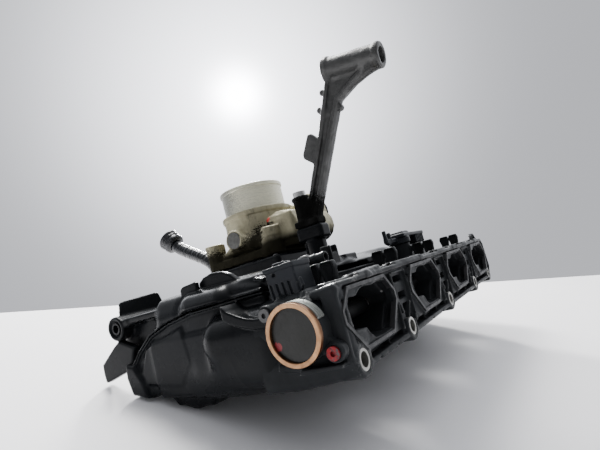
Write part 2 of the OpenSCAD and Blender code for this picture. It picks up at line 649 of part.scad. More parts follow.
port_flange();
port_seal(0);  // port_seal_1
port_seal(1);  // port_seal_2
port_seal(2);  // port_seal_3
port_seal(3);  // port_seal_4
compression_limiters();
lower_shell();
upper_shell();
end_boss_insert();
flap_bushings();
flap_shaft();
flap(0);  // flap_1
flap(1);  // flap_2
flap(2);  // flap_3
flap(3);  // flap_4
flap_sensor_housing();
flap_sensor_rotor();
flap_sensor_board();
flap_sensor_disc();
flap_sensor_ring();
flap_sensor_screws();
sensor_connector();
sensor_pins();
vacuum_nipple();
throttle_gasket();
throttle_inserts();
throttle_body();
throttle_bolts();
shaft_bearings();
throttle_shaft();
shaft_end_plug();
throttle_plate();
plate_screws();
sector_gear();
return_spring();
idler_axle();
idler_gear();
throttle_motor();
motor_pinion();
motor_end_cap();
gear_cover();
cover_screws();
throttle_pins();
support_arm();
arm_bolt();
arm_insert();
map_sensor();
map_sensor_pins();
map_sensor_screw();
breather_pipe();
pipe_coupling();
coupling_seal();
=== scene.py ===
import math
from itertools import product
import bpy
import numpy as np
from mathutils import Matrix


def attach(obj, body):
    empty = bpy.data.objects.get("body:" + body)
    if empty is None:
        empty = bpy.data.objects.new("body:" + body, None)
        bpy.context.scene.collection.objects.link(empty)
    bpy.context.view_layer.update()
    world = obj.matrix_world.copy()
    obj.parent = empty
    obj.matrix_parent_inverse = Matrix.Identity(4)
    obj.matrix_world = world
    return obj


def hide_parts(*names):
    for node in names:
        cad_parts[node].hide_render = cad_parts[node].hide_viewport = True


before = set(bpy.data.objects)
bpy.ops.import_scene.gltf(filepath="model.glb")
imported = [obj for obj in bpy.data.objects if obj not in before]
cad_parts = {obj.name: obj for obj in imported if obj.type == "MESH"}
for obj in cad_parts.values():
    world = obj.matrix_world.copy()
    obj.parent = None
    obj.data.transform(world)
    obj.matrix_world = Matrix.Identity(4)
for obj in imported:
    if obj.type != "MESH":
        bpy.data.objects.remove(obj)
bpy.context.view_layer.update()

import openvdb as vdb
from mathutils import Matrix, Vector

COARSE = 1.0
MM = 1000  # in a metre

# ---------------------------------------------------------------- node graphs


class Graph:
    """Short way to build the nodes of one material or world."""

    def __init__(self, owner, output="ShaderNodeOutputMaterial", coord="Object"):
        self.owner = owner
        owner.use_nodes = True
        self.tree = owner.node_tree
        self.tree.nodes.clear()
        self.out = self.tree.nodes.new(output)
        self.coord = self.tree.nodes.new("ShaderNodeTexCoord").outputs[coord]

    def put(self, socket, value):
        if isinstance(value, bpy.types.NodeSocket):
            self.tree.links.new(value, socket)
        elif value is not None:
            if hasattr(socket.default_value, "__len__") and len(socket.default_value) == 4 and len(value) == 3:
                value = (*value, 1)
            socket.default_value = value

    def node(self, kind, props=None, **values):
        n = self.tree.nodes.new(kind)
        for k, v in (props or {}).items():
            setattr(n, k, v)
        for k, v in values.items():
            self.put(n.inputs[k.replace("_", " ")], v)
        return n

    def noise(self, scale, detail=4, rough=0.55, vector=None, distortion=0.0):
        return self.node("ShaderNodeTexNoise", Vector=vector or self.coord, Scale=scale, Detail=detail,
                         Roughness=rough, Distortion=distortion).outputs["Fac"]

    def ramp(self, value, low, high, a=0.0, b=1.0):
        n = self.node("ShaderNodeMapRange", Value=value, From_Min=low, From_Max=high, To_Min=a, To_Max=b)
        n.interpolation_type = "SMOOTHSTEP"
        return n.outputs[0]

    def math(self, op, a, b=0.0, clamp=False):
        n = self.tree.nodes.new("ShaderNodeMath")
        n.operation, n.use_clamp = op, clamp
        self.put(n.inputs[0], a)
        self.put(n.inputs[1], b)
        return n.outputs[0]

    def times(self, a, b, clamp=False):
        return self.math("MULTIPLY", a, b, clamp)

    def plus(self, a, b):
        return self.math("ADD", a, b)

    def mix(self, fac, a, b):
        n = self.tree.nodes.new("ShaderNodeMix")
        n.data_type = "RGBA"
        self.put(n.inputs[0], fac)
        self.put(n.inputs[6], a)
        self.put(n.inputs[7], b)
        return n.outputs[2]

    def axis(self, which):
        return self.node("ShaderNodeSeparateXYZ", Vector=self.coord).outputs["XYZ".index(which)]

    def against(self, op, vector):
        """Vector maths between the coordinates and one constant vector."""
        n = self.node("ShaderNodeVectorMath", {"operation": op})
        self.put(n.inputs[0], self.coord)
        n.inputs[1].default_value = vector
        return n.outputs

    def squeeze(self, x, y, z):
        """Coordinates scaled unevenly, for grain that runs one way."""
        return self.against("MULTIPLY", (x, y, z))[0]

    def near(self, point, radius, soft=0.25):
        """1 close to a point given in mm, 0 beyond the radius, with an uneven rim."""
        away = self.against("DISTANCE", [v / MM for v in point])["Value"]
        uneven = self.times(self.math("SUBTRACT", self.noise(900, 3), 0.5), radius * 0.0011)
        return self.ramp(self.plus(away, uneven), radius * 0.001, radius * 0.001 * (1 - soft))

    def edges(self, low, high):
        """Where the surface is convex, for wear; with low above high, where it is concave, for painted shade."""
        g = self.tree.nodes.new("ShaderNodeNewGeometry")
        return self.ramp(g.outputs["Pointiness"], low, high)

    def bump(self, height, strength, distance, normal=None):
        return self.node("ShaderNodeBump", Height=height, Strength=strength, Distance=distance,
                         Normal=normal).outputs[0]

    def shade(self, color, rough, normal, metal=0.0, **more):
        n = self.node("ShaderNodeBsdfPrincipled", Base_Color=color, Roughness=rough, Metallic=metal,
                      Normal=normal, **more)
        self.tree.links.new(n.outputs[0], self.out.inputs[0])
        return self.owner


def material(name):
    return Graph(bpy.data.materials.new(name))


def scaled(color, share, offset=0.0):
    return tuple(c * share + offset for c in color)


def black_plastic(name, base, pale=(0.10, 0.10, 0.096), wear=1.0, rough=0.34, dust=0.16, scuffs=(),
                  crest=(0.515, 0.585), gloss=0.15):
    g = material(name)
    big = g.noise(16, 5, 0.6)
    fine = g.noise(620, 4, 0.6)
    flow = g.noise(70, 6, 0.65, g.squeeze(0.6, 1, 1.6))
    tone = g.mix(g.ramp(big, 0.35, 0.7), base, scaled(base, 1.9))
    dusty = g.times(g.ramp(flow, 0.5, 0.78), dust)
    tone = g.mix(dusty, tone, (0.03, 0.03, 0.027))
    worn = g.times(g.edges(*crest), g.ramp(g.noise(180, 5, 0.7), 0.36, 0.62))
    for spot, size in scuffs:
        worn = g.math("MAXIMUM", worn, g.times(g.near(spot, size), g.ramp(g.noise(150, 6, 0.75), 0.42, 0.64, 0.0, 0.3)))
    tone = g.mix(g.times(worn, wear, True), tone, pale)
    r = g.plus(g.ramp(g.noise(38, 6, 0.6), 0.3, 0.75, rough - 0.09, rough + 0.16),
               g.times(dusty, 0.4))
    n = g.bump(fine, 0.22, 0.0002)
    n = g.bump(g.noise(55, 3), 0.12, 0.0012, n)
    return g.shade(tone, r, n, Specular_IOR_Level=gloss)


def cast_metal(name, base, dark, grime=0.5, rough=0.42, metal=0.75, grain=1.0, low_shade_and_dirt=None, dark_spots=(), marks=()):
    g = material(name)
    pits = g.noise(480, 6, 0.65)
    skin = g.noise(120, 5, 0.6)
    patch = g.noise(42, 6, 0.7)
    tone = g.mix(g.ramp(patch, 0.38, 0.66), base, scaled(base, 0.74))
    stain = g.times(g.ramp(g.noise(95, 7, 0.72, g.squeeze(1, 1, 0.5)), 0.5, 0.72), grime)
    tone = g.mix(stain, tone, dark)
    # darker in concave places: painted shade
    hollow_shade = g.times(g.edges(0.492, 0.44), 0.85)
    tone = g.mix(hollow_shade, tone, scaled(dark, 0.6))
    bright = g.times(g.edges(0.515, 0.58), 0.55)
    tone = g.mix(bright, tone, tuple(min(c * 1.25, 0.9) for c in base))
    soil_and_shade = 0.0  # darker low down and round given spots: partly dirt, partly painted shade
    if low_shade_and_dirt:
        axis, top, bottom, share = low_shade_and_dirt
        drift = g.times(g.math("SUBTRACT", patch, 0.5), 0.008)
        soil_and_shade = g.times(g.ramp(g.plus(g.axis(axis), drift), top, bottom), share)
    for spot, size in dark_spots:
        soil_and_shade = g.math("MAXIMUM", soil_and_shade, g.times(g.near(spot, size), g.ramp(patch, 0.2, 0.5, 0.75, 0.97)))
    tone = g.mix(soil_and_shade, tone, scaled(dark, 0.2))
    r = g.plus(g.ramp(skin, 0.3, 0.75, rough - 0.08, rough + 0.2), g.times(soil_and_shade, 0.25))
    n = g.bump(pits, 0.35 * grain, 0.0004)
    n = g.bump(skin, 0.3 * grain, 0.0012, n)
    for spot, size, paint in marks:
        tone = g.mix(g.times(g.near(spot, size), 0.85), tone, paint)
    undarkened = g.math("SUBTRACT", 1.0, soil_and_shade)
    return g.shade(tone, r, n, g.times(undarkened, metal), Specular_IOR_Level=g.times(undarkened, 0.5))


def turned_metal(name, base, rough=0.3, metal=0.95, squeeze=(1, 1, 1), stain=(0.25, 0.24, 0.2), amount=0.3, ring=420,
                 side_shade=()):
    """Machined or plated metal: fine lines run round the squeezed axis."""
    g = material(name)
    lines = g.noise(ring, 3, 0.5, g.squeeze(*squeeze))
    blot = g.noise(60, 6, 0.7)
    tone = g.mix(g.ramp(lines, 0.3, 0.7), base, scaled(base, 0.8))
    tone = g.mix(g.times(g.ramp(blot, 0.5, 0.75), amount), tone, stain)
    # darker round the given spots, in the stain's colour: painted shade
    for spot, size in side_shade:
        tone = g.mix(g.times(g.near(spot, size, 0.6), 0.95), tone, stain)
    r = g.plus(g.ramp(lines, 0.3, 0.7, rough - 0.06, rough + 0.08), g.ramp(blot, 0.45, 0.8, 0, 0.18))
    n = g.bump(lines, 0.18, 0.0002)
    n = g.bump(g.noise(700, 3), 0.06, 0.0002, n)
    return g.shade(tone, r, n, metal)


def rubber(name, base):
    g = material(name)
    tone = g.mix(g.ramp(g.noise(90, 5), 0.35, 0.7), base, scaled(base, 1.7, 0.004))
    r = g.ramp(g.noise(210, 4), 0.3, 0.7, 0.45, 0.7)
    return g.shade(tone, r, g.bump(g.noise(900, 4), 0.2, 0.0002))


# ---------------------------------------------------------------- clay: distance fields on a grid, in mm
# Each shape is its distance function and the two corners of its box.


def _q(v):
    return np.maximum(v, 0)


def _length(*sides):
    return np.sqrt(sum(v ** 2 for v in sides))


def round_join(a, b, e):
    """Distance inside both a and b, with the edge between them rounded by e."""
    a, b = a + e, b + e
    return _length(_q(a), _q(b)) + np.minimum(np.maximum(a, b), 0) - e


def box(low, high, e=0.8):
    low, high = np.minimum(low, high).astype(float), np.maximum(low, high).astype(float)
    c, h = (low + high) / 2, (high - low) / 2
    e = min(e, h.min() * 0.95)

    def f(x, y, z):
        qx, qy, qz = abs(x - c[0]) - h[0] + e, abs(y - c[1]) - h[1] + e, abs(z - c[2]) - h[2] + e
        return _length(_q(qx), _q(qy), _q(qz)) + np.minimum(np.maximum(np.maximum(qx, qy), qz), 0) - e
    return f, low, high


def rod(a, b, r, e=0.6, r2=None):
    """Straight round bar from a to b with rounded ends, tapering to r2 if given."""
    a, b = np.array(a, float), np.array(b, float)
    r2 = r if r2 is None else r2
    length = np.linalg.norm(b - a)
    u = (b - a) / length

    def f(x, y, z):
        t = (x - a[0]) * u[0] + (y - a[1]) * u[1] + (z - a[2]) * u[2]
        d = np.sqrt(_q((x - a[0]) ** 2 + (y - a[1]) ** 2 + (z - a[2]) ** 2 - t * t))
        return round_join(d - (r + (r2 - r) * np.clip(t / length, 0, 1)), abs(t - length / 2) - length / 2, e)
    m = max(r, r2)
    return f, np.minimum(a, b) - m, np.maximum(a, b) + m


def post(axis, at, a, b, r, e=0.6, r2=None):
    """Rod along an axis from a to b, at a place given by its two other coordinates."""
    i = "xyz".index(axis)
    return rod((*at[:i], a, *at[i:]), (*at[:i], b, *at[i:]), r, e, r2)


def chain(points, r):
    """Round bar along points; r is one radius or one for each point."""
    p = np.array(points, float)
    rs = np.broadcast_to(np.array(r, float), len(p))

    def f(x, y, z):
        best = None
        for i in range(len(p) - 1):
            ab = p[i + 1] - p[i]
            t = np.clip(((x - p[i][0]) * ab[0] + (y - p[i][1]) * ab[1] + (z - p[i][2]) * ab[2]) / (ab @ ab), 0, 1)
            d = _length(*(v - p[i][j] - t * ab[j] for j, v in enumerate((x, y, z)))) - (rs[i] + (rs[i + 1] - rs[i]) * t)
            best = d if best is None else np.minimum(best, d)
        return best
    return f, p.min(0) - rs.max(), p.max(0) + rs.max()


def _flat(axis, x, y, z):
    """The two coordinates across an axis, then the one along it."""
    return {"x": (y, z, x), "y": (x, z, y), "z": (x, y, z)}[axis]


def _edge_distance(u, v, line, closed):
    best = None
    n = len(line)
    for i in range(n if closed else n - 1):
        a, b = line[i], line[(i + 1) % n]
        ab = b - a
        t = np.clip(((u - a[0]) * ab[0] + (v - a[1]) * ab[1]) / max(ab @ ab, 1e-9), 0, 1)
        d = (u - a[0] - t * ab[0]) ** 2 + (v - a[1] - t * ab[1]) ** 2
        best = d if best is None else np.minimum(best, d)
    return np.sqrt(best)


def _limits(axis, a, b, flat_low, flat_high):
    order = {"x": (2, 0, 1), "y": (0, 2, 1), "z": (0, 1, 2)}[axis]
    low, high = [*flat_low, min(a, b)], [*flat_high, max(a, b)]
    return np.array([low[i] for i in order], float), np.array([high[i] for i in order], float)


def slab(axis, a, b, outline, e=0.7, grow=0.0):
    """Closed outline stretched along an axis from a to b."""
    line = np.array(outline, float)

    def f(x, y, z):
        u, v, w = _flat(axis, x, y, z)
        d = _edge_distance(u, v, line, True)
        inside = np.zeros(np.broadcast(u, v).shape, bool)
        for i in range(len(line)):
            p, q = line[i], line[(i + 1) % len(line)]
            if p[1] != q[1]:
                cross = ((p[1] > v) != (q[1] > v)) & (u < (q[0] - p[0]) * (v - p[1]) / (q[1] - p[1]) + p[0])
                inside ^= cross
        d = np.where(inside, -d, d) - grow
        return round_join(d, abs(w - (a + b) / 2) - abs(b - a) / 2, e)
    return (f, *_limits(axis, a, b, line.min(0) - grow, line.max(0) + grow))


def wall(axis, a, b, line, t, e=0.4, closed=False):
    """Thin wall of thickness t along a line, stretched along an axis from a to b."""
    line = np.array(line, float)

    def f(x, y, z):
        u, v, w = _flat(axis, x, y, z)
        return round_join(_edge_distance(u, v, line, closed) - t / 2, abs(w - (a + b) / 2) - abs(b - a) / 2, e)
    return (f, *_limits(axis, a, b, line.min(0) - t, line.max(0) + t))


def ring(c, axis, big, small):
    """Round bead of radius small, bent into a circle of radius big."""
    c = np.array(c, float)

    def f(x, y, z):
        u, v, w = _flat(axis, x - c[0], y - c[1], z - c[2])
        return _length(_length(u, v) - big, w) - small
    reach = big + small
    return f, c - reach, c + reach


def arc(c, r, start, end, n=14):
    """Points round a circle in a plane, in degrees."""
    return [(c[0] + r * math.cos(math.radians(t)), c[1] + r * math.sin(math.radians(t))) for t in np.linspace(start,
                                                                                                              end, n)]


FAR = 12.0  # mm, the distance that the empty grid starts with


def link(o):
    bpy.context.scene.collection.objects.link(o)
    return o


def new_mesh(name, verts, faces):
    me = bpy.data.meshes.new(name)
    me.from_pydata(verts, [], faces)
    return link(bpy.data.objects.new(name, me))


class Clay:
    """A solid being built up from rounded shapes."""

    def __init__(self, low, high, step):
        self.low = np.array(low, float)
        self.step = np.broadcast_to(np.array(step, float), 3) * COARSE
        n = np.ceil((np.array(high, float) - self.low) / self.step).astype(int) + 1
        self.v = np.full(n, FAR, np.float32)

    def _part(self, low, high, pad):
        i = np.clip(np.floor((low - pad - self.low) / self.step).astype(int), 0, None)
        j = np.minimum(np.ceil((high + pad - self.low) / self.step).astype(int) + 1, self.v.shape)
        if (j <= i).any():
            return None, None
        axes = [self.low[k] + self.step[k] * np.arange(i[k], j[k]) for k in range(3)]
        return tuple(slice(p, q) for p, q in zip(i, j)), np.meshgrid(*axes, indexing="ij", sparse=True)

    def _mix(self, shape, k, sign):
        f, low, high = shape
        where, xyz = self._part(low, high, k + 2.5 * self.step.max())
        if where is None:
            return
        d = (sign * f(*xyz)).astype(np.float32)
        a = self.v[where]
        h = _q(k - abs(a - d)) / max(k, 1e-6)
        self.v[where] = np.minimum(a, d) - h * h * k / 4 if sign > 0 else np.maximum(a, d) + h * h * k / 4

    def add(self, *shapes, k=1.2):
        """Joins the shapes on, one after another, with a fillet of about k mm."""
        for s in shapes:
            self._mix(s, k, 1)

    def cut(self, *shapes, k=0.6):
        for s in shapes:
            self._mix(s, k, -1)

    def roughen(self, amount, scale, seed=1):
        """Uneven surface, as a sand casting or a moulding has."""
        rng = np.random.default_rng(seed)
        shape = [max(3, int(n * s / scale) + 3) for n, s in zip(self.v.shape, self.step)]
        coarse = rng.normal(size=shape).astype(np.float32)
        for ax, n in enumerate(self.v.shape):
            t = np.linspace(0, coarse.shape[ax] - 1.001, n)
            i = t.astype(int)
            w = (t - i).astype(np.float32)
            w = w * w * (3 - 2 * w)
            w = w.reshape([-1 if a == ax else 1 for a in range(3)])
            coarse = np.take(coarse, i, ax) * (1 - w) + np.take(coarse, i + 1, ax) * w
        self.v += amount * coarse

    def mesh(self, name, share):
        """The surface as a new object, with its faces thinned out to the share given."""
        v = self.v.copy()
        for ax, end in product(range(3), (0, -1)):
            idx = [slice(None)] * 3
            idx[ax] = end
            v[tuple(idx)] = np.maximum(v[tuple(idx)], 0.5)
        grid = vdb.FloatGrid(FAR)
        grid.copyFromArray(v)
        pts, tris, quads = grid.convertToPolygons(isovalue=0.0, adaptivity=0.0)
        o = new_mesh(name, ((pts * self.step + self.low) / MM).tolist(), quads.tolist() + tris.tolist())
        o.modifiers.new("lighten", "DECIMATE").ratio = share
        dg = bpy.context.evaluated_depsgraph_get()
        o.data = bpy.data.meshes.new_from_object(o.evaluated_get(dg))
        o.modifiers.clear()
        me = o.data
        me.name = name
        me.shade_smooth()
        me.normals_split_custom_set_from_vertices(self.slope(me))
        return o

    def slope(self, me):
        """The field's own direction at each vertex, which shades flat faces flat."""
        co = np.zeros(len(me.vertices) * 3, np.float32)
        me.vertices.foreach_get("co", co)
        t = (co.reshape(-1, 3) * MM - self.low) / self.step
        n = np.zeros_like(t)
        for ax, s in product(range(3), (-1, 1)):
            p = t.copy()
            p[:, ax] += s * 0.6
            n[:, ax] += s * self.at(p) / self.step[ax]
        return n / np.maximum(np.linalg.norm(n, axis=1, keepdims=True), 1e-9)

    def at(self, t):
        """The field between grid points, t counted in grid steps."""
        t = np.clip(t, 0, np.array(self.v.shape) - 1.001)
        i = t.astype(int)
        w = t - i
        total = 0
        for d in product((0, 1), repeat=3):
            a, b, c = (w[:, j] if d[j] else 1 - w[:, j] for j in range(3))
            total = total + self.v[i[:, 0] + d[0], i[:, 1] + d[1], i[:, 2] + d[2]] * (a * b * c)
        return total


def paint(o, look):
    o.data.materials.clear()
    o.data.materials.append(look)


def piece(o, look, nodes=()):
    """Finishes a visible piece: its material, the body it rides on and the CAD nodes it stands for."""
    paint(o, look)
    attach(o, "manifold")
    if nodes:
        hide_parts(*nodes)


def torus_faces(rows, cols):
    """Quads over rows of points, closed both ways."""
    pairs = product(((r, (r + 1) % rows) for r in range(rows)), ((c, (c + 1) % cols) for c in range(cols)))
    return [(r * cols + c, r2 * cols + c, r2 * cols + c2, r * cols + c2) for (r, r2), (c, c2) in pairs]


def lathe(name, profile, origin, axis, segments, wobble=None):
    """Mesh turned from (radius, height) points in mm, closed into a ring; axis is the direction of height."""
    turn = Vector(axis).to_track_quat("Z", "Y").to_matrix()
    verts = []
    for s in range(segments):
        a = 2 * math.pi * s / segments
        for r, h in profile:
            if wobble:
                r, h = wobble(a, r, h)
            p = turn @ Vector((r * math.cos(a), r * math.sin(a), h))
            verts.append((p + Vector(origin)) / MM)
    o = new_mesh(name, verts, torus_faces(segments, len(profile)))
    o.data.validate()
    return o


def soften(o, width, angle=32):
    """Welds a mesh and rounds its edges with modifiers; width in mm, angle in degrees."""
    o.modifiers.new("weld", "WELD").merge_threshold = 2e-6
    m = o.modifiers.new("round", "BEVEL")
    m.width, m.segments, m.limit_method, m.angle_limit = width / MM, 2, "ANGLE", math.radians(angle)
    o.modifiers.new("even", "WEIGHTED_NORMAL").keep_sharp = True


# ---------------------------------------------------------------- materials

BLACK = black_plastic("flange plastic", base=(0.0140, 0.0150, 0.0160), pale=(0.30, 0.30, 0.29), wear=1.0, rough=0.38,
                      dust=0.05, crest=(0.54, 0.63), gloss=0.05,
                      scuffs=(((-117, 4, 20), 11), ((-142, 6, 19), 9), ((-152, -1, -18), 10)))
SATIN = black_plastic("shell plastic", base=(0.0056, 0.0062, 0.0070), pale=(0.07, 0.074, 0.074), wear=0.6, rough=0.25,
                      dust=0.1, crest=(0.53, 0.62), gloss=0.07)
SLATE = black_plastic("connector plastic", base=(0.014, 0.0155, 0.018), wear=0.8, rough=0.42, dust=0.1, gloss=0.1)
HOSE = black_plastic("pipe plastic", base=(0.006, 0.0065, 0.008), pale=(0.10, 0.10, 0.10), wear=0.6, rough=0.26,
                     dust=0.1, gloss=0.45)
# The darkening towards the bottom and the dark spots paint the shade of the casting's low faces and of the recess under
# its ledge, along with some oil dirt.
CAST = cast_metal("throttle casting", (0.37, 0.34, 0.225), (0.055, 0.05, 0.033), grime=0.8, rough=0.46, metal=0.45,
                  low_shade_and_dirt=("Z", 0.066, 0.058, 0.97), dark_spots=(((-31, 127, 70), 12.5), ((-31, 136, 58), 15),
                                                            ((-36, 150, 55), 13), ((-31, 181, 56), 15)),
                  marks=(((-27.5, 120.4, 79), 2.6, (0.55, 0.03, 0.025)),))
ARM = cast_metal("arm casting", (0.075, 0.075, 0.073), (0.022, 0.022, 0.02), grime=0.5, rough=0.44, metal=0.6,
                 grain=0.7, dark_spots=(((-35, 78, 66), 26),), marks=(((-35, 6.9, 172.4), 3.4, (0.60, 0.20, 0.19)),))
# The side shade darkens the tube's left side: painted shade.
TUBE = turned_metal("machined inlet", (0.80, 0.78, 0.61), rough=0.3, metal=0.25, squeeze=(0.5, 0.5, 9),
                    stain=(0.22, 0.22, 0.19), amount=0.45, ring=260, side_shade=(((-20, 165, 105), 26),))
BAND = turned_metal("plated band", (0.26, 0.27, 0.25), rough=0.42, squeeze=(8, 1, 1), stain=(0.07, 0.07, 0.06),
                    amount=0.6, ring=300)
STEEL = turned_metal("steel", (0.55, 0.55, 0.55), rough=0.3, ring=700)
RUBBER = rubber("seal rubber", (0.012, 0.012, 0.013))

# Middles of the ports, of the gaps between them and of the head bolts, in x, and the seam's curve, in y and z
PORTS, GAPS = (-132, -44, 44, 132), (-88, 0, 88)
FLAP_AXIS = (18.4, 1.1)  # y, z, of the flap shaft and its sensor
SENSOR_SCREWS = ((33.9, 11.4), (4.1, -9.7))  # y, z
BOLTS = (-154, -88, 0, 88, 154)
SEAM = [(48, 22.5), (102, 21.5), (122, 18.5), (139, 13.5), (152, 5), (163, -5)]


def cut_rect(x, w, h, c, low):
    """Rectangle of half sizes w and h about (x, 0), cut by c at its top corners and by low at the others."""
    return [(x - w + low, -h), (x + w - low, -h), (x + w, -h + low), (x + w, h - c), (x + w - c, h), (x - w + c, h),
            (x - w, h - c), (x - w, -h + low)]


def port_line(x, grow=0.0):
    return cut_rect(x, 29 + grow, 12.5 + grow, 8 + 0.6 * grow, 13 + 0.6 * grow)


# ---------------------------------------------------------------- port flange

# Outline of a port's mouth about the port's centre, narrower than the duct behind it
MOUTH = [(-21.5, 9.8), (-24.4, 7), (-24.6, 0), (-23, -4.6), (-11.5, -5.6), (-9, -9.2), (-4.5, -11.9), (4.5, -12.4),
         (18, -12.2), (25, -9.2), (28.6, -4.4), (28.6, 3), (27.6, 7.4), (23.4, 11.4), (17, 12.4), (5, 11.6),
         (-4, 12.4), (-9.5, 11.4), (-14.5, 9.2)]


def make_flange():
    c = Clay((-172, -2, -28), (174, 50.4, 38), (0.8, 0.6, 0.6))
    edge = [(-164, -14), (-158.5, -21), (159.5, -21), (171, -11.5), (171, 11.5), (165.5, 16.5), (-160.5, 16.5),
            (-164, 12.5)]
    c.add(slab("y", 2.4, 7, edge, 0.6, grow=1))
    c.add(wall("y", 0, 7, edge, 2.2, 0.6, closed=True), k=0.5)
    for x in PORTS:
        c.add(slab("y", 0.2, 12, port_line(x, 3.4), 0.5), k=0.6)
        c.add(slab("y", 2, 31 if x < -100 else 48, cut_rect(x, 33, 16.5, 9, 9), 1.6), k=2)
        for y in (20, 34):
            c.add(wall("y", y, y + 1.8, cut_rect(x, 33.4, 17, 9, 9), 1.6, 0.5, closed=True))
        c.add(post("y", (x + 6, 15.5), 0, 15, 3.8, 0.8), k=1.5)
        # a pair of upright petals on the duct, each with a raised rim
        for y in (14, 23.2):
            leaf = [(y + 1.6, 16), (y, 25.5), (y + 0.8, 28), (y + 6.9, 28), (y + 7.8, 25.5), (y + 6.2, 16)]
            c.add(slab("x", x - 0.9, x + 0.9, leaf, 0.3), k=1.5)
            c.add(wall("x", x - 1.9, x + 1.9, leaf, 1.3, closed=True), k=0.6)
        # clip below the left of the port mouth
        c.add(wall("y", 0.2, 5, [(x - 20.6, -3.8), (x - 20.4, -7.2), (x - 15, -7.2), (x - 14.8, -3.8)], 1.1, 0.3),
              k=0.4)
    for g in GAPS:
        c.add(post("x", FLAP_AXIS, g - 16, g + 16, 6.5, 1), k=2)
        for s in (-1, 1):
            c.add(box((g + s * 11 - 1, 0, -17), (g + s * 11 + 1, 24, 16), 0.5), k=0.8)
            c.add(box((g + s * 5 - 0.8, 6, 6), (g + s * 5 + 0.8, 46, 17), 0.4), k=0.8)
    # boss of the pressure sensor and post of its screw
    c.add(post("z", (40, 40), 12, 31, 8, 0.8), post("z", (55, 40), 12, 35.9, 3.8, 0.5), k=2.5)
    # end blocks, top ledge and bottom lip
    c.add(box((-161.5, 0, -16), (-157, 31, 14), 1.4), k=1)
    c.add(slab("x", -165, -157, [(0.4, 15), (9, 15), (6.5, 8), (2.6, -8), (0.4, -16)], 2.2), k=2)
    c.add(post("x", (33.9, 11.4), -166, -150, 4.3), k=2)
    c.add(chain([(-150, 24, 1.5), (-150, 48, 1.5)], 14.2), slab("y", 28, 48, cut_rect(-128, 29, 16.5, 9, 9), 1.6), k=5)
    c.add(box((161, 1, -12), (171, 30, 13), 2), k=1)
    c.add(box((-161, 0.4, 14), (163, 4, 17.6), 0.6), box((-161, 5.6, 13), (163, 11, 18.6)), k=0.8)
    c.add(box((-157, 0.4, -21.6), (159, 13, -19.3), 0.7), k=0.6)
    c.add(slab("x", -163.5, -101, [(4, -14), (58, -8), (58, -26.6), (30, -26.2), (8, -24)], 4.5), k=5)
    # worn bosses along the ledge
    for x0, x1, y1 in ((-136, -117.5, 9), (-113.5, -109, 6), (-86, -34, 8), (3, 24, 8), (52, 66, 7), (86, 112, 8),
                       (140, 152, 7)):
        c.add(box((x0, 0.8, 15), (x1, y1, 19.4), 0.9))
    c.cut(box((-156, -1, 13.9), (158, 1.7, 15.3), 0.4), box((-156, 3.9, 15.2), (158, 5.4, 19), 0.4), k=0.4)
    for x in range(-150, 160, 11):
        c.add(box((x - 0.7, 4, 14), (x + 0.7, 6, 18), 0.3), k=0.5)
    c.add(slab("y", 0.8, 9, [(-128, 15), (-125.6, 19.6), (-108, 20.4), (-105.6, 15)], 1), k=0.8)
    for x in BOLTS:
        c.add(post("y", (x, -17.5), 0, 20, 8, 1.2))
        c.add(wall("y", -0.2, 3, arc((x, -17.5), 6.4, 0, 360, 28), 2.0, 0.6, closed=True), k=0.5)
    # loop at the far end
    c.add(wall("y", 1, 5, arc((143, 17), 7, 0, 180), 1.5, 0.5), k=0.8)
    # tray under the sensor unit
    c.add(slab("x", -169, -159, [(2, -14.8), (24, -15.3), (25.4, -17.6), (2.4, -16.6)], 0.5))
    c.add(slab("x", -167, -159, [(22, -13), (37, -12), (38, -15), (24, -17)], 1.2), k=2)
    c.add(chain([(-165, 12, 5), (-165, 3.4, -8)], 0.9), k=0.8)
    # worn bar over the near column
    c.add(chain([(-163.2, 1.8, 15.4), (-163.2, 11, 14.6)], 2.3), k=1)
    for x in PORTS:
        c.cut(slab("y", 5, 60, port_line(x), 0.1), k=0.9)
        mouth = [(x + u, v) for u, v in MOUTH]
        c.add(wall("y", -0.2, 3.4, mouth, 2.2, 0.5, closed=True), k=0.4)
        c.cut(slab("y", -2, 6, mouth, 0.1), k=0.3)
    for x in BOLTS:
        c.cut(post("y", (x, -17.5), -2, 22, 4.95, 0.1), k=0.3)
    # face details
    for g in GAPS:
        c.cut(box((g - 8, -2, -12.5), (g + 11, 2.4, 13), 0.5), k=0.5)
        c.cut(wall("y", -1, 10, [(g - 7.2, 12.2), (g - 4.6, -6.4)], 2.0, 0.3), k=0.4)
        c.cut(box((g - 3.4, -1, 8), (g + 9.6, 10, 11.4), 0.5), box((g - 1.6, -1, -1.8), (g + 9.6, 10, 2), 0.5),
              box((g + 0.6, -1, -14.6), (g + 9.4, 14, -4.8), 0.6), k=0.5)
        c.add(wall("y", 1.0, 12, [(g + 9.6, -5), (g + 1.2, -14.2)], 1.4, 0.3), k=0.4)
        c.add(wall("y", 0.6, 6, [(g - 7.5, 13.6), (g + 11, 13.6)], 1.3), k=0.5)
        c.add(wall("y", 0.3, 8, [(g - 10.4, 0.4), (g - 5.2, -8.6)], 1.7), k=0.5)
        c.cut(box((g - 30, -1, -19.3), (g - 9.5, 6, -16.6), 0.5), box((g + 9.5, -1, -19.3), (g + 30, 6, -16.6), 0.5),
              k=0.4)
    for x in PORTS:
        c.cut(box((x - 13, -1, -19.3), (x + 13, 6, -16.9), 0.5), k=0.4)
        for s in (-5, 18):
            c.cut(box((x + s - 1.2, -1, -24), (x + s + 1.2, 5, -21), 0.3), k=0.4)
        c.cut(wall("y", -1, 3.4, [(x - 28, 9.8), (x - 28.6, -0.4), (x - 24, -6.6)], 1.5, 0.3), k=0.3)
        c.cut(box((x - 24, 4.2, 13), (x + 24, 5.4, 22), 0.3), k=0.4)
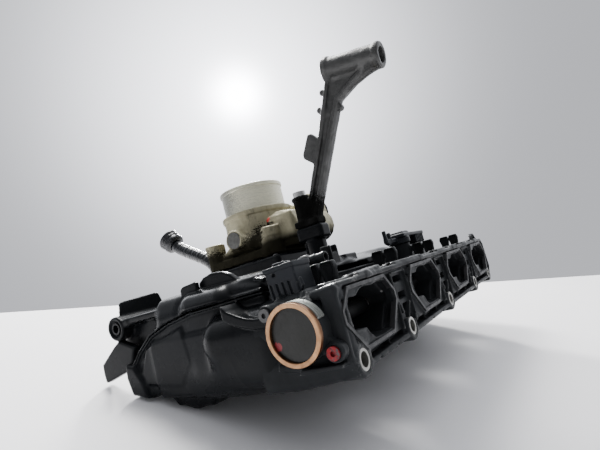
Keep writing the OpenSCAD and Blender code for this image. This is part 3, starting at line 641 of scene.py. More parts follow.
    c.add(box((-155, 0.2, 10.6), (-146, 3, 13.6), 0.6), k=0.5)
    c.roughen(0.05, 3.2, 3)
    piece(c.mesh("flange_moulding", 0.28), BLACK, nodes=("port_flange",))


# ---------------------------------------------------------------- plenum shells


def seam_line(dz):
    return [(y, z + dz) for y, z in SEAM]


def seam_strip(low, high):
    """Closed outline round the seam's curve, from low to high above it."""
    return seam_line(low) + seam_line(high)[::-1]


def make_lower_shell():
    c = Clay((-170, 34, -36), (170, 168, 28), 0.9)
    under = SEAM + [(164.5, -14), (160, -21), (153, -24), (140, -22), (126, -26), (99, -28), (72, -28), (48, -24.5)]
    c.add(slab("x", -150, 150, under, 4))
    for s in (-1, 1):
        c.add(chain([(s * 150, 46, 1.5), (s * 150, 78, 1.5)], 14.2), k=4)
        c.add(chain([(s * 145, 100, -15), (s * 149, 66, -13.5), (s * 151, 46, -12.5)], (8, 11.5, 12.8)), k=8)
        c.add(box((s * 150 - 1, 60, -24), (s * 150 + 1, 140, 8)), k=4)
    # rounded drums that it stands on, ribbed along their length
    for x in (-146, 106):
        c.add(post("x", (119, -20.4), x, x + 40, 12.8, 3), k=3)
        c.add(slab("x", x, x + 24, [(142, -22), (134, -31), (106, -33), (100, -28), (100, -20)], 2.5), k=3)
        c.add(*[ring((x + 2 + 4.5 * i, 119, -20.4), "x", 12.7, 0.9) for i in range(9)], k=0.8)
    # runners showing through the underside
    for x in PORTS:
        c.add(chain([(x, 52, -8), (x, 80, -10), (x, 108, -12)], (20, 19, 15)), k=9)
    c.add(*[box((g - 1, 50, -26), (g + 1, 150, -14), 0.6) for g in GAPS], k=2)
    # curved fin over the near runner
    fin = [(65.9, 20.6), (62.4, 17), (57, 14.2), (52, 12), (46.2, 10.6), (36, 10.2), (36, 5), (47.2, 5.6),
           (56.2, 8.2), (62, 10.2), (66, 13)]
    c.add(slab("x", -165, -146, fin), slab("x", 146, 161, fin), k=0.7)
    # corner panel and the faint joint beside it
    c.add(slab("x", -151.4, -146, [(158, -14), (146, 6), (112, 14), (109, -7), (120, -18)], 1.2), k=2)
    c.add(slab("x", -153.5, -140, [(166.5, 0), (167.5, -9), (164.5, -20), (150, -23), (152, -12), (158, -2)], 2.6), k=2)
    # joint flange
    c.add(slab("x", -151.8, 151.8, seam_strip(-1.5, -0.2), 0.4))
    for x in PORTS:
        c.cut(slab("y", 40, 58, port_line(x), 0.1), k=0.5)
        c.cut(box((max(x - 29, -147), 57, -20), (min(x + 29, 147), 97, 45), 3), k=1)
    for s in (-1, 1):
        c.cut(chain([(s * 150, 40, 1.5), (s * 150, 70, 1.5)], 10), k=1)
    c.cut(slab("x", -147, 147, [(96, 45), (96, -25), (126, -23), (140, -19), (152, -21), (158, -18.5), (160.5, -13),
                                (160, -4), (160, 45)], 2), k=1)
    c.cut(*[box((g - 11, 52, -40), (g + 11, 92, 16), 2) for g in GAPS], k=1)
    # nothing stands above the seam
    c.cut(slab("x", -146.9, 146.9, seam_line(-0.2) + [(163, 60), (44, 60), (44, 22)], 0.1), k=0.3)
    piece(c.mesh("plenum_lower", 0.25), SATIN, nodes=("lower_shell",))


def make_upper_shell():
    c = Clay((-156, 38, -14), (156, 205, 64), 0.9)
    over = SEAM[::-1] + [(48, 27), (70, 31.5), (100, 33), (140, 33), (168, 32), (178, 29), (181, 22), (179, 14),
                         (172, 2), (167, -5)]
    c.add(slab("x", -150, 150, over, 6))
    # the near corner is set back behind the boss
    c.cut(slab("x", -170, -112, [(131, 21), (139, 17.6), (152, 9.2), (163, 1), (200, 1), (200, 60), (131, 60)], 3), k=4)
    # domes over the runners
    for x in PORTS:
        c.add(chain([(x, 62, 12), (x, 98, 12)], 21.5), k=4)
    for x in (-66, -22, 22, 66, 110):
        c.add(box((x - 0.9, 112, 30), (x + 0.9, 166, 34.6), 0.6), k=1.5)
    c.add(box((-108, 168, 27), (146, 171, 33.4), 1), k=2)
    c.add(slab("x", -151.8, 151.8, seam_strip(0.2, 1.5), 0.4))
    for x in range(-138, 140, 23):
        c.add(post("z", (x, 134), 12, 19.6, 3, 0.7), k=1)
    # throttle pad, breather block, pillar under the support arm
    c.add(box((-41, 109, 26), (37, 191, 47.9), 2.4), k=3)
    c.add(wall("z", 26, 46, [(-40, 112), (-40, 188)], 2, 0.6), k=1)
    c.add(box((-30, 180, 20), (-10, 203, 47.9), 2.5), k=2.5)
    c.add(post("z", (-35, 77), 28, 50, 7.4, 1), box((-39, 69, 28), (-31, 85, 50), 1.2), k=1.5)
    c.add(box((-42, 65, 49.5), (-28, 88, 60.9), 2.6), k=1)
    # boss with a socket, long tab, pointed flap
    c.add(slab("x", -141, -105, [(128, 22), (128, 18), (139, 13), (152, 5), (163, -5), (167, -5), (172, 2), (179, 14),
                                 (178, 20), (150, 24)], 2), k=3)
    c.add(post("x", (173, 23), -150, -100, 7.8, 0.9), k=2)
    c.add(slab("y", 175, 177.6, [(-142.7, 29.5), (-140.9, 38.8), (-139.5, 39.9), (-110.2, 41.8), (-107.7, 40.9),
                                 (-104.5, 32.0), (-104.5, 27), (-142.7, 27)]), k=0.8)
    c.add(box((-149, 129, 24), (-110, 165, 28), 1.4), box((-149, 160, 23), (-110, 172, 27), 1.4), k=2)
    c.add(slab("x", -150, -144.5, [(158, 9), (172.6, 15), (178.5, 12.2), (194.5, 2.2), (194.9, -3.8), (193.8, -10.2),
                                   (177, -6.6), (165, -4)], 1.1))
    # arch, tab and hook beside the first runner
    arch = [(96, 36), (91.8, 38.4), (85.5, 39.6), (77.6, 38.8), (72, 36.3), (67.8, 32.4), (63.4, 27.1), (62, 24),
            (72, 24), (76, 29), (82, 31.6), (89.2, 32.4), (96, 32)]
    c.add(slab("x", -145, -141, arch), k=0.6)
    c.add(slab("x", -149, -146, [(94.4, 30), (94.2, 36.6), (95, 37.4), (106, 36.4), (107.6, 35), (108.4, 30)], 0.6),
          k=0.6)
    # rounded end of the runner in front of the arch, and the flat shelf beside it
    c.add(chain([(-147, 99, 21.2), (-147, 78, 20.6)], 10.4), k=1.5)
    c.add(chain([(-143, 124, 19.4), (-143, 113, 20)], 10.8), k=3)
    c.add(box((-147, 45, 24), (-132, 66, 31.4), 2.0), k=1.5)
    c.add(slab("x", -153, -146, [(44, 28.4), (50, 30.2), (51, 27.6), (45, 26.6)], 0.8), k=0.8)
    # clip blocks near the port row
    c.add(box((-66, 50, 26), (-54, 58, 41), 1), box((-46, 50, 26), (-27, 60, 33), 1))
    c.add(box((-118, 50, 26), (-104, 57, 33), 1), box((70, 50, 26), (84, 58, 36), 1))
    # inside
    c.cut(slab("x", -107, 140, [(96, -10), (96, 28.5), (140, 29), (167, 28), (174, 25.5), (176, 22), (174, 15),
                                (167.5, 4), (163.5, -2), (160, -2), (160, -10)], 2), k=1)
    for x in PORTS:
        c.cut(box((max(x - 29, -138), 40, 0), (min(x + 29, 138), 97, 25), 3), k=1)
    c.cut(slab("x", -160, 160, seam_line(0.2) + [(163, -30), (36, -30), (36, 22.5)], 0.1), k=0.3)
    c.cut(post("z", (0, 150), 15, 52, 26, 0.1), k=0.4)
    c.cut(post("x", (173, 23), -154, -136, 4, 0.2), k=0.8)
    c.cut(post("x", (173, 23), -154, -148.6, 5.6, 0.4), box((-63, 49, 36), (-57, 60, 43), 0.5), k=0.5)
    piece(c.mesh("plenum_upper", 0.25), SATIN, nodes=("upper_shell",))


# ---------------------------------------------------------------- throttle body


THROTTLE_BOLTS = list(product((-31, 31), (119, 181)))  # x, y
# Places on the gear case, y and z
COVER_POINTS = [(124, 54), (118, 98.5), (173, 92.5), (173, 46.5)]
MOTOR, IDLER, SHAFT = (112, 68), (118.975, 82.4), (150, 69.5)


def make_throttle():
    c = Clay((-43, 90, 47.5), (50, 192, 103), 0.62)
    c.add(box((-31, 111, 49), (31, 189, 56), 1.4), box((-39, 119, 49), (39, 181, 56), 1.4), k=2)
    for x, y in THROTTLE_BOLTS:
        c.add(post("z", (x, y), 49, 71.8, 8, 1.2), k=3)
        c.add(post("z", (x, y), 64, 72, 8.6, 1), k=1.5)
    c.add(post("z", (0, 150), 49, 93, 31, 1.2, 30.4), k=3)
    c.add(post("z", (0, 150), 88.6, 93.2, 31.8, 1), k=1.5)
    c.add(post("z", (0, 150), 60, 63, 32.6, 1), k=3)
    # shaft bosses, with a flare that runs down from the near one
    c.add(post("x", (150, 69.5), -41, -26, 8.5, 0.9, 9.6), post("x", (150, 69.5), 26, 39.5, 11, 1), k=4)
    c.add(chain([(-34, 143, 66), (-30, 128, 62), (-27, 116, 60)], (5.5, 5, 4)), k=4)
    c.add(chain([(-33, 157, 64), (-30, 170, 58)], (4, 4)), k=4)
    # motor block
    c.add(post("x", (110, 68), -25, 39.5, 15, 1.4), k=3)
    c.add(box((-24, 96, 53), (12, 124, 74), 2), k=2.5)
    c.add(box((-27, 94.5, 52), (14, 122, 57), 1), k=1)
    c.add(box((-27.5, 96.5, 58), (8, 123, 81), 3), k=3)
    for x in (-12, 0, 12):
        c.add(wall("x", x - 0.8, x + 0.8, arc((110, 68), 15, 20, 200, 16), 1.6), k=0.8)
    # gear pan
    c.add(*pan_shapes(38, 48.3, 0), k=1.5)
    for y, z in COVER_POINTS:
        c.add(post("x", (y, z), 41.5, 48.3, 4))
    c.cut(*pan_shapes(39.5, 52, -2.5), k=0.5)
    c.cut(post("z", (0, 150), 40, 100, 26, 0.1), post("x", (150, 69.5), -45, -36, 7, 0.2), k=0.4)
    for x, y in THROTTLE_BOLTS:
        c.cut(post("z", (x, y), 66, 76, 5.6, 0.3), k=0.4)
    c.roughen(0.16, 3.0, 5)
    piece(c.mesh("throttle_casting", 0.3), CAST, nodes=("throttle_body",))


def pan_shapes(a, b, grow):
    """The gear case's outline: rounds about the motor, the idler and the shaft, and webs between them."""
    rounds = [(MOTOR, 9.5), (IDLER, 15.5), (SHAFT, 31)]
    made = [post("x", (y, z), a, b, r + grow) for (y, z), r in rounds]
    for y, z in (MOTOR, IDLER):
        made.append(slab("x", a, b, [(y, z + 7 + grow), (y, z - 7 - grow), (150, 49.5 - grow), (150, 89.5 + grow)],
                         0.6))
    return made


def make_inlet():
    profile = [(26.02, 91), (26.02, 115.2), (26.5, 115.9), (27.2, 116), (28.6, 115.8), (29, 115.2), (29, 112.9),
               (28.6, 112.3), (28, 112), (27.95, 104), (28.05, 103.8), (28.05, 103.2), (27.95, 103), (27.9, 97),
               (28, 94), (28.8, 93.2), (30.6, 92.8), (30.6, 91)]
    o = lathe("inlet_tube", profile, (0, 150, 0), (0, 0, 1), 160)
    soften(o, 0.12, 30)
    piece(o, TUBE)


# ---------------------------------------------------------------- support arm


def make_arm():
    c = Clay((-46, -20, 59.5), (-24, 92, 177), 0.62)
    back = [(31, 160), (40, 141), (48, 124), (70, 82), (86, 66), (86, 61)]
    front = [(69, 61), (62, 76), (45, 107), (30, 134), (25, 142), (-2, 154)]
    c.add(slab("x", -37.5, -32.5, back + front + [(4, 162)], 0.8))
    c.add(wall("x", -40, -30, [(y - 1.6, z - 0.6) for y, z in back[:4]], 3.2, 0.9), k=1.6)
    c.add(wall("x", -40, -30, [(y + 1.6, z + 0.8) for y, z in front], 3.2, 0.9), k=1.6)
    # tube on top, tilted along u, with a pad on each end and a web under it
    slope = math.radians(12)
    u, mid = np.array([0, -math.cos(slope), -math.sin(slope)]), np.array([-35, 9, 163.0])
    c.add(rod(mid - 22 * u, mid + 22 * u, 8.6, 1.1), k=2.5)
    c.add(rod(mid - 22 * u, mid - 18 * u, 9.3, 0.9), rod(mid + 18.5 * u, mid + 22 * u, 9.1, 0.8), k=2)
    c.add(slab("x", -37, -33, [(28, 148), (31, 160), (12, 158), (-4, 153), (-6, 150), (14, 146)], 1.4), k=3)
    # foot, bolt column, stop tab
    c.add(box((-42, 66.5, 61), (-28, 87.5, 66), 1.2), k=2)
    c.add(post("z", (-35, 80), 61, 85, 6.2, 0.9), k=2.5)
    c.add(post("z", (-35, 80), 82, 85, 7, 0.7), k=0.8)
    c.add(slab("x", -40, -35, [(49, 120.5), (54.6, 127), (57.4, 126.6), (65.4, 113.6), (65.4, 110.6), (58, 103.5)],
               1.0))
    c.add(*[post("x", (y, z), -37.8, -32.2, 2.3, 0.9) for y, z in ((43.2, 141), (27.2, 136.6), (37.2, 152.4))], k=2)
    c.add(chain([(-35, 47, 123), (-35, 40, 137)], (2.6, 3.4)), chain([(-35, 72, 79), (-35, 80, 70)], (3, 4)), k=3)
    c.cut(rod(mid - 24 * u, mid + 24 * u, 5.5, 0.1))
    c.cut(post("z", (-35, 80), 58, 90, 3.1, 0.1), k=0.3)
    c.roughen(0.08, 2.6, 9)
    piece(c.mesh("support_casting", 0.35), ARM, nodes=("support_arm",))


# ---------------------------------------------------------------- sensors and connectors


def make_sensor_housing():
    c = Clay((-176, -3, -15), (-159, 40, 18), 0.42)
    c.add(post("x", FLAP_AXIS, -174, -161, 13.1, 0.5))
    cy, cz = FLAP_AXIS
    for y, z in SENSOR_SCREWS:
        c.add(post("x", (y, z), -170, -165, 4.3, 0.7))
        dy, dz = y - cy, z - cz
        n = math.hypot(dy, dz)
        a, b = -dz / n, dy / n
        c.add(slab("x", -169.4, -163, [(y + 3.4 * a, z + 3.4 * b), (cy + 6 * a, cz + 6 * b), (cy - 6 * a, cz - 6 * b),
                                     (y - 3.4 * a, z - 3.4 * b)]))
        c.add(wall("x", -171, -168.4, arc((y, z), 3.6, 0, 360, 20), 1.1, closed=True), k=0.5)
    c.cut(post("x", FLAP_AXIS, -178, -168, 11.7, 0.2), k=0.3)
    piece(c.mesh("flap_sensor_case", 0.4), BLACK, nodes=("flap_sensor_housing",))


def make_sensor_band():
    """Ribbed spring band round part of the sensor's case."""
    c = Clay((-176, -3, -15), (-164, 35, 18), 0.36)
    c.add(wall("x", -173.6, -168, arc(FLAP_AXIS, 13.1, 84, 160, 40), 0.8, 0.3))
    for x in (-173, -171.4, -169.8, -168.4):
        c.add(wall("x", x - 0.4, x + 0.4, arc(FLAP_AXIS, 13.6, 86, 158, 40), 0.9, 0.3), k=0.2)
    piece(c.mesh("flap_sensor_band", 0.5), BAND)


def make_connector():
    c = Clay((-160, 20, 12), (-134, 47, 37), 0.36)
    c.add(slab("x", -154, -138, [(24.4, 31.6), (41.8, 31.2), (41.4, 15.8), (23.4, 14.4)], 0.9))
    c.add(slab("x", -154.7, -137.4, [(24.2, 32.6), (42.4, 32), (42.4, 29.6), (24.2, 30.2)], 0.6), k=0.8)
    # hook on the port side, latch bump on top
    c.add(chain([(-152, 23.8, 18), (-153.2, 21.6, 20.4), (-153, 22.4, 23.6)], 0.8), k=0.6)
    c.add(chain([(-152, 23, 16), (-153, 20.4, 17.4)], 0.8), k=0.5)
    c.add(box((-149, 32, 31), (-143, 40, 34)), k=0.8)
    c.cut(box((-152, 31.5, 21.5), (-140, 46, 30)), k=0.5)
    c.cut(box((-156, 35.4, 27.2), (-151.5, 37.4, 29), 0.3), k=0.3)
    for y in (28, 31.6, 35.2, 38.8):
        c.cut(slab("x", -156, -153, [(y, 23.6), (y + 1.5, 24), (y + 0.6, 16), (y - 1.0, 15.6)], 0.3), k=0.3)
    piece(c.mesh("sensor_socket", 0.4), SLATE, nodes=("sensor_connector",))


def make_nipple():
    c = Clay((-121, 26, 15), (-109, 49, 38), 0.36)
    c.add(post("z", (-115, 43), 16, 32, 4, 0.5))
    c.add(chain([(-115, 40, 31.7), (-115, 43, 31.2)], 4.1), k=1.5)
    c.add(post("y", (-115, 31.7), 27, 44, 2.9, 0.5), k=1)
    c.add(post("y", (-115, 31.7), 27, 30.4, 3.35, 0.5, 3), post("y", (-115, 31.7), 33, 35.4, 3.3, 0.4, 2.9), k=0.4)
    c.cut(post("y", (-115, 31.7), 25, 43, 2, 0.1), k=0.4)
    piece(c.mesh("vacuum_spigot", 0.4), BLACK, nodes=("vacuum_nipple",))


def make_map_sensor():
    c = Clay((5, 29, 15), (88, 50, 46), 0.5)
    c.add(post("z", (40, 40), 17, 31, 4.9, 0.4), post("z", (40, 40), 31, 36, 9.5, 0.8), k=0.5)
    c.add(box((30, 31, 36), (85, 48, 39.5), 1.2), k=1)
    c.add(box((62, 32, 29), (85, 47, 38.5), 1.2), k=0.8)
    c.add(box((34, 33, 38.8), (50, 46, 41.4), 1.3), k=1)
    for x in (66, 70, 74, 78, 82):
        c.add(box((x - 0.7, 31.4, 29.6), (x + 0.7, 47.6, 38.8), 0.4), k=0.5)
    c.add(box((8, 38, 33), (31, 41, 36.5)), box((8, 38, 33), (11, 41, 44), 0.9), box((17, 38, 33), (20, 41, 42), 0.9),
          k=1)
    c.add(wall("y", 38, 41, arc((13.8, 36.5), 4.2, 180, 360, 12), 1.8, 0.6), k=1)
    c.cut(box((66, 34.5, 30.5), (90, 44.5, 36)), k=0.5)
    c.cut(post("z", (55, 40), 28, 44, 2.1, 0.1), post("z", (40, 40), 10, 30, 2.5, 0.1), k=0.3)
    piece(c.mesh("pressure_sensor", 0.4), SLATE, nodes=("map_sensor",))


def make_gear_cover():
    c = Clay((46.8, 78, 36), (69, 184, 103), 0.7)
    c.add(*pan_shapes(48.3, 51.3, 0), *pan_shapes(51.0, 52.2, -6), k=1)
    for a in range(0, 360, 30):
        t = math.radians(a)
        c.add(chain([(52, 150 + 8 * math.cos(t), 69.5 + 8 * math.sin(t)),
                     (52, 150 + 24 * math.cos(t), 69.5 + 24 * math.sin(t))], 0.9), k=0.6)
    c.add(wall("x", 51, 53, arc(SHAFT, 24.5, 0, 360, 48), 1.6, 0.5, closed=True), k=0.6)
    for y, z in COVER_POINTS:
        c.add(post("x", (y, z), 48.3, 51.8, 4, 0.7), k=1)
    c.add(box((50, 140, 46), (67.3, 164, 66), 1.6), k=1)
    c.add(box((60, 139.4, 64), (64, 164.6, 67.6)), box((64.8, 139.3, 45.4), (67.3, 164.7, 66.6)), k=0.7)
    c.cut(box((53.3, 142, 48), (70, 162, 64), 1.4), k=0.5)
    for y, z in COVER_POINTS:
        c.cut(post("x", (y, z), 46, 54, 1.6, 0.1), k=0.3)
    piece(c.mesh("drive_cover", 0.3), BLACK, nodes=("gear_cover",))


# ---------------------------------------------------------------- breather pipe

# The pipe's middle line, y and z
ROUTE = [(195, 42), (195, 50), (197, 57), (204, 64), (215, 71), (227, 78), (236, 84), (241, 89)]


def smooth_route(points, n):
    """Catmull-Rom curve through the points, n steps to each stretch."""
    p = [np.array(v, float) for v in points]
    p = [2 * p[0] - p[1]] + p + [2 * p[-1] - p[-2]]
    out = []
    for i in range(1, len(p) - 2):
        for t in np.linspace(0, 1, n, endpoint=False):
            out.append(0.5 * (2 * p[i] + (p[i + 1] - p[i - 1]) * t
                              + (2 * p[i - 1] - 5 * p[i] + 4 * p[i + 1] - p[i + 2]) * t * t
                              + (3 * p[i] - p[i - 1] - 3 * p[i + 1] + p[i + 2]) * t ** 3))
    return out + [p[-2]]


PIPE_X = -20
PIPE_RADIUS, PIPE_WALL, PIPE_SIDES = 5.9, 1.6, 40
WRINKLES_START, WRINKLES_END, WRINKLES_FADE = 9, 74, 3  # mm along the pipe


def make_pipe():
    """Lightly wrinkled pipe, plain where it enters the block and where it meets the elbow."""
    line = smooth_route(ROUTE, 22)
    last = len(line) - 1
    rings, run = [], 0.0
    for i, p in enumerate(line):
        d = line[min(i + 1, last)] - line[max(i - 1, 0)]
        d = d / np.linalg.norm(d)
        if i:
            run += np.linalg.norm(p - line[i - 1])
        wrinkled = (min(max((run - WRINKLES_START) / WRINKLES_FADE, 0), 1)
                    * min(max((WRINKLES_END - run) / WRINKLES_FADE, 0), 1))
        rings.append((p, d, PIPE_RADIUS + wrinkled * (0.13 * math.sin(run * 1.9) + 0.12 * math.sin(run * 1.13 + 1.0))))
    # the outside, then back along the inside
    rings += [(p, d, r - PIPE_WALL) for p, d, r in rings[::-1]]
    verts = []
    for p, d, r in rings:
        for s in range(PIPE_SIDES):
            a = 2 * math.pi * s / PIPE_SIDES
            verts.append(((PIPE_X + r * math.cos(a)) / MM, (p[0] - r * math.sin(a) * d[1]) / MM,
                          (p[1] + r * math.sin(a) * d[0]) / MM))
    o = new_mesh("breather_tube", verts, [f[::-1] for f in torus_faces(len(rings), PIPE_SIDES)])
    o.data.shade_smooth()
    piece(o, HOSE, nodes=("breather_pipe",))


def make_coupling():
    profile = [(4.2, 0), (6.5, -1.5), (9.4, -0.4), (10, 1), (10, 3), (9.5, 3.6), (9.5, 4.6), (10, 5.2), (10, 7.2),
               (10.9, 8.2), (11, 9.8), (10.6, 10.5), (8.8, 10.5), (8.1, 9.8), (8, 2.2), (4.4, 2.0)]
    o = lathe("breather_elbow", profile, (PIPE_X, *ROUTE[-1]), (0, 0.70711, 0.70711), 88,
              lambda a, r, h: (r + (0.35 if 9.9 < r < 10.05 and math.cos(a * 8) > 0.3 else 0), h))
    soften(o, 0.25, 25)
    piece(o, HOSE, nodes=("pipe_coupling",))


# ---------------------------------------------------------------- carried-over CAD nodes


def painted_steel(name, color, spot):
    """Steel with thick marking paint round one spot, worn through in places."""
    g = material(name)
    cover = g.times(g.ramp(g.noise(420, 5, 0.7), 0.66, 0.5), g.near(spot, 9))
    tone = g.mix(cover, (0.05, 0.05, 0.05), g.mix(g.ramp(g.noise(700, 3), 0.3, 0.7), color, scaled(color, 0.5)))
    return g.shade(tone, g.ramp(cover, 0, 1, 0.3, 0.5), g.bump(cover, 0.4, 0.0003), 0.4)


def copper():
    g = material("copper ring")
    blot = g.noise(120, 6, 0.7)
    tone = g.mix(g.ramp(blot, 0.35, 0.68), (0.40, 0.215, 0.105), (0.27, 0.14, 0.07))
    # lighter and more orange towards the top: painted light
    lit_top = g.ramp(g.axis("Z"), -0.002, 0.013)
    tone = g.mix(g.times(lit_top, 0.5), tone, (0.47, 0.28, 0.155))
    worn = g.times(g.edges(0.51, 0.57), g.ramp(g.noise(260, 4), 0.35, 0.65))
    tone = g.mix(g.times(worn, 0.5), tone, (0.66, 0.40, 0.22))
    # darker behind the ring's front face: painted shade on its side
    tone = g.mix(g.ramp(g.axis("X"), -0.1764, -0.1758), tone, (0.16, 0.075, 0.035))
    n = g.bump(g.noise(500, 4), 0.2, 0.0003)
    return g.shade(tone, g.ramp(blot, 0.3, 0.8, 0.24, 0.48), n, 0.8)


def sealed_disc():
    g = material("sealed disc")
    flow = g.noise(60, 6, 0.6, distortion=1.2)
    tone = g.mix(g.ramp(flow, 0.35, 0.7), (0.005, 0.0052, 0.004), (0.010, 0.010, 0.0075))
    tone = g.mix(g.near((-174.9, 28.2, -2.6), 2.3), tone, (0.22, 0.02, 0.025))
    n = g.bump(g.noise(140, 3), 0.3, 0.0008)
    n = g.bump(g.noise(900, 3), 0.1, 0.0002, n)
    return g.shade(tone, g.ramp(flow, 0.3, 0.7, 0.3, 0.5), n, Specular_IOR_Level=0.3)


def gear_nylon():
    g = material("gear nylon")
    tone = g.mix(g.ramp(g.noise(80, 5), 0.3, 0.7), (0.62, 0.57, 0.42), (0.50, 0.45, 0.32))
    # darker in concave places: painted shade
    tone = g.mix(g.times(g.edges(0.49, 0.43), 0.7), tone, (0.10, 0.085, 0.05))
    return g.shade(tone, g.ramp(g.noise(300), 0.3, 0.7, 0.35, 0.5), g.bump(g.noise(800), 0.1, 0.0002),
                   Subsurface_Weight=0.08)


def board():
    g = material("circuit board")
    lines = g.node("ShaderNodeTexBrick", Vector=g.coord, Scale=420.0).outputs["Fac"]
    tone = g.mix(lines, (0.01, 0.10, 0.04), (0.02, 0.16, 0.06))
    return g.shade(tone, g.ramp(g.noise(300), 0.3, 0.7, 0.3, 0.45), g.bump(lines, 0.2, 0.0001))


def finish_nodes():
    looks = (
        (RUBBER, "port_seal_1 port_seal_2 port_seal_3 port_seal_4 throttle_gasket"),
        (rubber("blue rubber", (0.012, 0.05, 0.40)), "coupling_seal"),
        (turned_metal("limiter steel", (0.40, 0.395, 0.37), rough=0.4, squeeze=(1, 12, 1), stain=(0.17, 0.15, 0.12),
                      amount=0.6), "compression_limiters"),
        (turned_metal("brass", (0.60, 0.42, 0.17), rough=0.32, stain=(0.2, 0.13, 0.05)),
         "throttle_inserts arm_insert sensor_pins map_sensor_pins throttle_pins motor_pinion"),
        (turned_metal("throttle plate brass", (0.52, 0.45, 0.30), rough=0.3, squeeze=(20, 1, 1),
                      stain=(0.09, 0.075, 0.05), amount=0.6), "throttle_plate"),
        (turned_metal("dark steel", (0.10, 0.10, 0.095), rough=0.38, stain=(0.05, 0.045, 0.04)), "shaft_end_plug"),
        (turned_metal("blackened steel", (0.022, 0.022, 0.023), rough=0.45, stain=(0.012, 0.012, 0.012)),
         "end_boss_insert"),
        (STEEL, "flap_shaft throttle_bolts throttle_shaft plate_screws return_spring idler_axle cover_screws arm_bolt "
                "map_sensor_screw shaft_bearings throttle_motor"),
        (painted_steel("marked steel", (0.34, 0.012, 0.018), (-170, 4.1, -9.7)), "flap_sensor_screws"),
        (CAST, "motor_end_cap"),
        (gear_nylon(), "sector_gear idler_gear"),
        (black_plastic("bush nylon", (0.010, 0.009, 0.007), wear=0.3, rough=0.5), "flap_bushings"),
        (black_plastic("flap plastic", (0.004, 0.004, 0.0045), wear=0.3, rough=0.5),
         "flap_1 flap_2 flap_3 flap_4 flap_sensor_rotor"),
        (board(), "flap_sensor_board"), (sealed_disc(), "flap_sensor_disc"), (copper(), "flap_sensor_ring"),
    )
    # mm that edges are rounded by; the spring's mesh stays as it is
    usual_width = 0.25
    width = {"sector_gear": 0.12, "idler_gear": 0.08, "motor_pinion": 0.05, "sensor_pins": 0.08,
             "map_sensor_pins": 0.05, "throttle_pins": 0.1, "flap_sensor_ring": 0.3, "throttle_plate": 0.2,
             "plate_screws": 0.15, "return_spring": 0}
    for look, names in looks:
        for name in names.split():
            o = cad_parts[name]
            paint(o, look)
            if width.get(name, usual_width):
                soften(o, width.get(name, usual_width))


for make in (make_flange, make_lower_shell, make_upper_shell, make_throttle, make_inlet, make_arm, make_sensor_housing,
             make_sensor_band, make_connector, make_nipple, make_map_sensor, make_gear_cover, make_pipe, make_coupling,
             finish_nodes):
    make()

# ---------------------------------------------------------------- stage, light and camera

# The camera's own axes and place, fitted to the photo
RIGHT, DOWN = Vector((0.5277, -0.81, -0.2558)), Vector((-0.0331, 0.2813, -0.959))
AHEAD = Vector((0.8488, 0.5146, 0.1216))
EYE = Vector((-0.3325, -0.0939, 0.0218))
LENS, SENSOR = 27.0, 36.0  # mm
LEAN = math.radians(2.2)  # of the part on the floor
UP = (-math.cos(LEAN) * DOWN - math.sin(LEAN) * AHEAD).normalized()
MIDDLE = Vector((0, 0.08, 0.03))

FLOOR_HEIGHT = -0.0697
FLOOR_HALF_WIDTH, FLOOR_BEHIND, FLOOR_AHEAD, FLOOR_DEPTH = 3.2, 2.4, 0.6146, 0.01
FLOOR_EDGE_SLOPE = 0.3305  # of its far edge, across the view

ROOM_LOW, ROOM_HIGH = 0.40, 2.2
BACKDROP_LOW = 0.66
GLOW = ((22.0, 3.6), (160.0, 1.5), (900.0, 14.0))  # sharpness and strength of the round glow on the backdrop
GLOW_WAY = AHEAD - RIGHT * 0.138 - DOWN * 0.289


def on_floor(p):
    """The point of the floor's plane straight under or over p."""
    return p + UP * (FLOOR_HEIGHT - UP.dot(p))


def make_stage():
    side = AHEAD.cross(UP).normalized()
    front = UP.cross(side).normalized()
    base = on_floor(EYE)
    half, slope = FLOOR_HALF_WIDTH, FLOOR_HALF_WIDTH * FLOOR_EDGE_SLOPE
    top = [base + side * s + front * t for s, t in ((-half, -FLOOR_BEHIND), (half, -FLOOR_BEHIND),
                                                    (half, FLOOR_AHEAD + slope), (-half, FLOOR_AHEAD - slope))]
    low = [p - UP * FLOOR_DEPTH for p in top]
    floor = new_mesh("floor", top + low, [(0, 1, 2, 3), (7, 6, 5, 4), (0, 4, 5, 1), (1, 5, 6, 2), (2, 6, 7, 3),
                                          (3, 7, 4, 0)])
    g = material("floor paper")
    tone = g.mix(g.ramp(g.noise(3, 3), 0.3, 0.7), (0.86, 0.85, 0.86), (0.80, 0.795, 0.81))
    paint(floor, g.shade(tone, 0.55, g.bump(g.noise(300, 3), 0.05, 0.0005)))


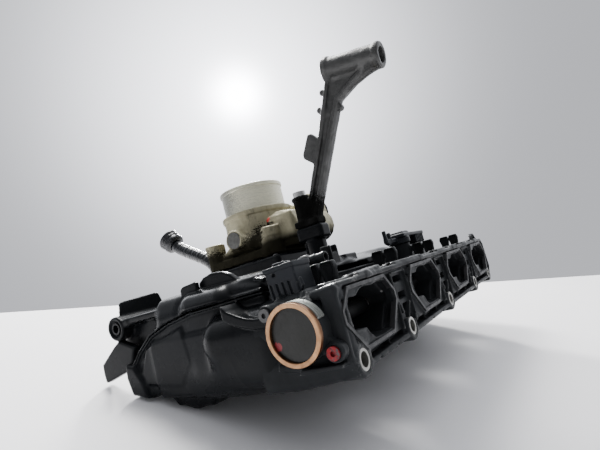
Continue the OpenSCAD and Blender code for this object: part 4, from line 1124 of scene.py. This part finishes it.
def area(name, place, size, power, color):
    """Rectangular light at a place, turned to the object's middle."""
    data = bpy.data.lights.new(name, "AREA")
    data.shape, data.size, data.size_y, data.energy, data.color = "RECTANGLE", *size, power, color
    o = link(bpy.data.objects.new(name, data))
    o.location = place
    o.rotation_mode = "QUATERNION"
    o.rotation_quaternion = (MIDDLE - place).to_track_quat("-Z", "Y")
    return o


def make_world():
    """Dim room light that comes mostly from above and behind, in front of a bright backdrop."""
    world = bpy.data.worlds.new("studio")
    bpy.context.scene.world = world
    g = Graph(world, "ShaderNodeOutputWorld", "Generated")

    def facing(direction):
        return g.against("DOT_PRODUCT", direction.normalized())["Value"]

    def light(color, strength):
        return g.node("ShaderNodeBackground", Color=color, Strength=strength).outputs[0]
    room = light((0.93, 0.95, 1.0), g.ramp(facing(AHEAD + UP * 0.7), -0.1, 1.0, ROOM_LOW, ROOM_HIGH))
    toward = g.math("MAXIMUM", facing(GLOW_WAY), 0.0)
    drop = BACKDROP_LOW
    for sharp, strength in GLOW:
        drop = g.plus(g.times(g.math("POWER", toward, sharp), strength), drop)
    mix = g.tree.nodes.new("ShaderNodeMixShader")
    g.put(mix.inputs[0], g.tree.nodes.new("ShaderNodeLightPath").outputs["Is Camera Ray"])
    g.put(mix.inputs[1], room)
    g.put(mix.inputs[2], light((0.925, 0.94, 1.0), drop))
    g.put(g.out.inputs[0], mix.outputs[0])


def make_camera():
    cam = link(bpy.data.objects.new("camera", bpy.data.cameras.new("camera")))
    cam.data.lens, cam.data.sensor_width = LENS, SENSOR
    cam.data.clip_start, cam.data.clip_end = 0.01, 20
    cam.matrix_world = Matrix.LocRotScale(EYE, Matrix((RIGHT, -DOWN, -AHEAD)).transposed(), None)
    bpy.context.scene.camera = cam


make_stage()
make_world()
make_camera()
area("key", MIDDLE + UP * 1.05 + AHEAD * 0.62 - RIGHT * 0.42, (0.42, 0.42), 30, (1, 0.99, 0.975))
area("back", MIDDLE + UP * 0.55 + AHEAD * 1.1 - RIGHT * 0.7, (0.9, 0.4), 7, (0.96, 0.97, 1))
area("lamp", EYE + GLOW_WAY * 1.5, (0.14, 0.14), 36, (1, 0.995, 0.98)).visible_camera = False
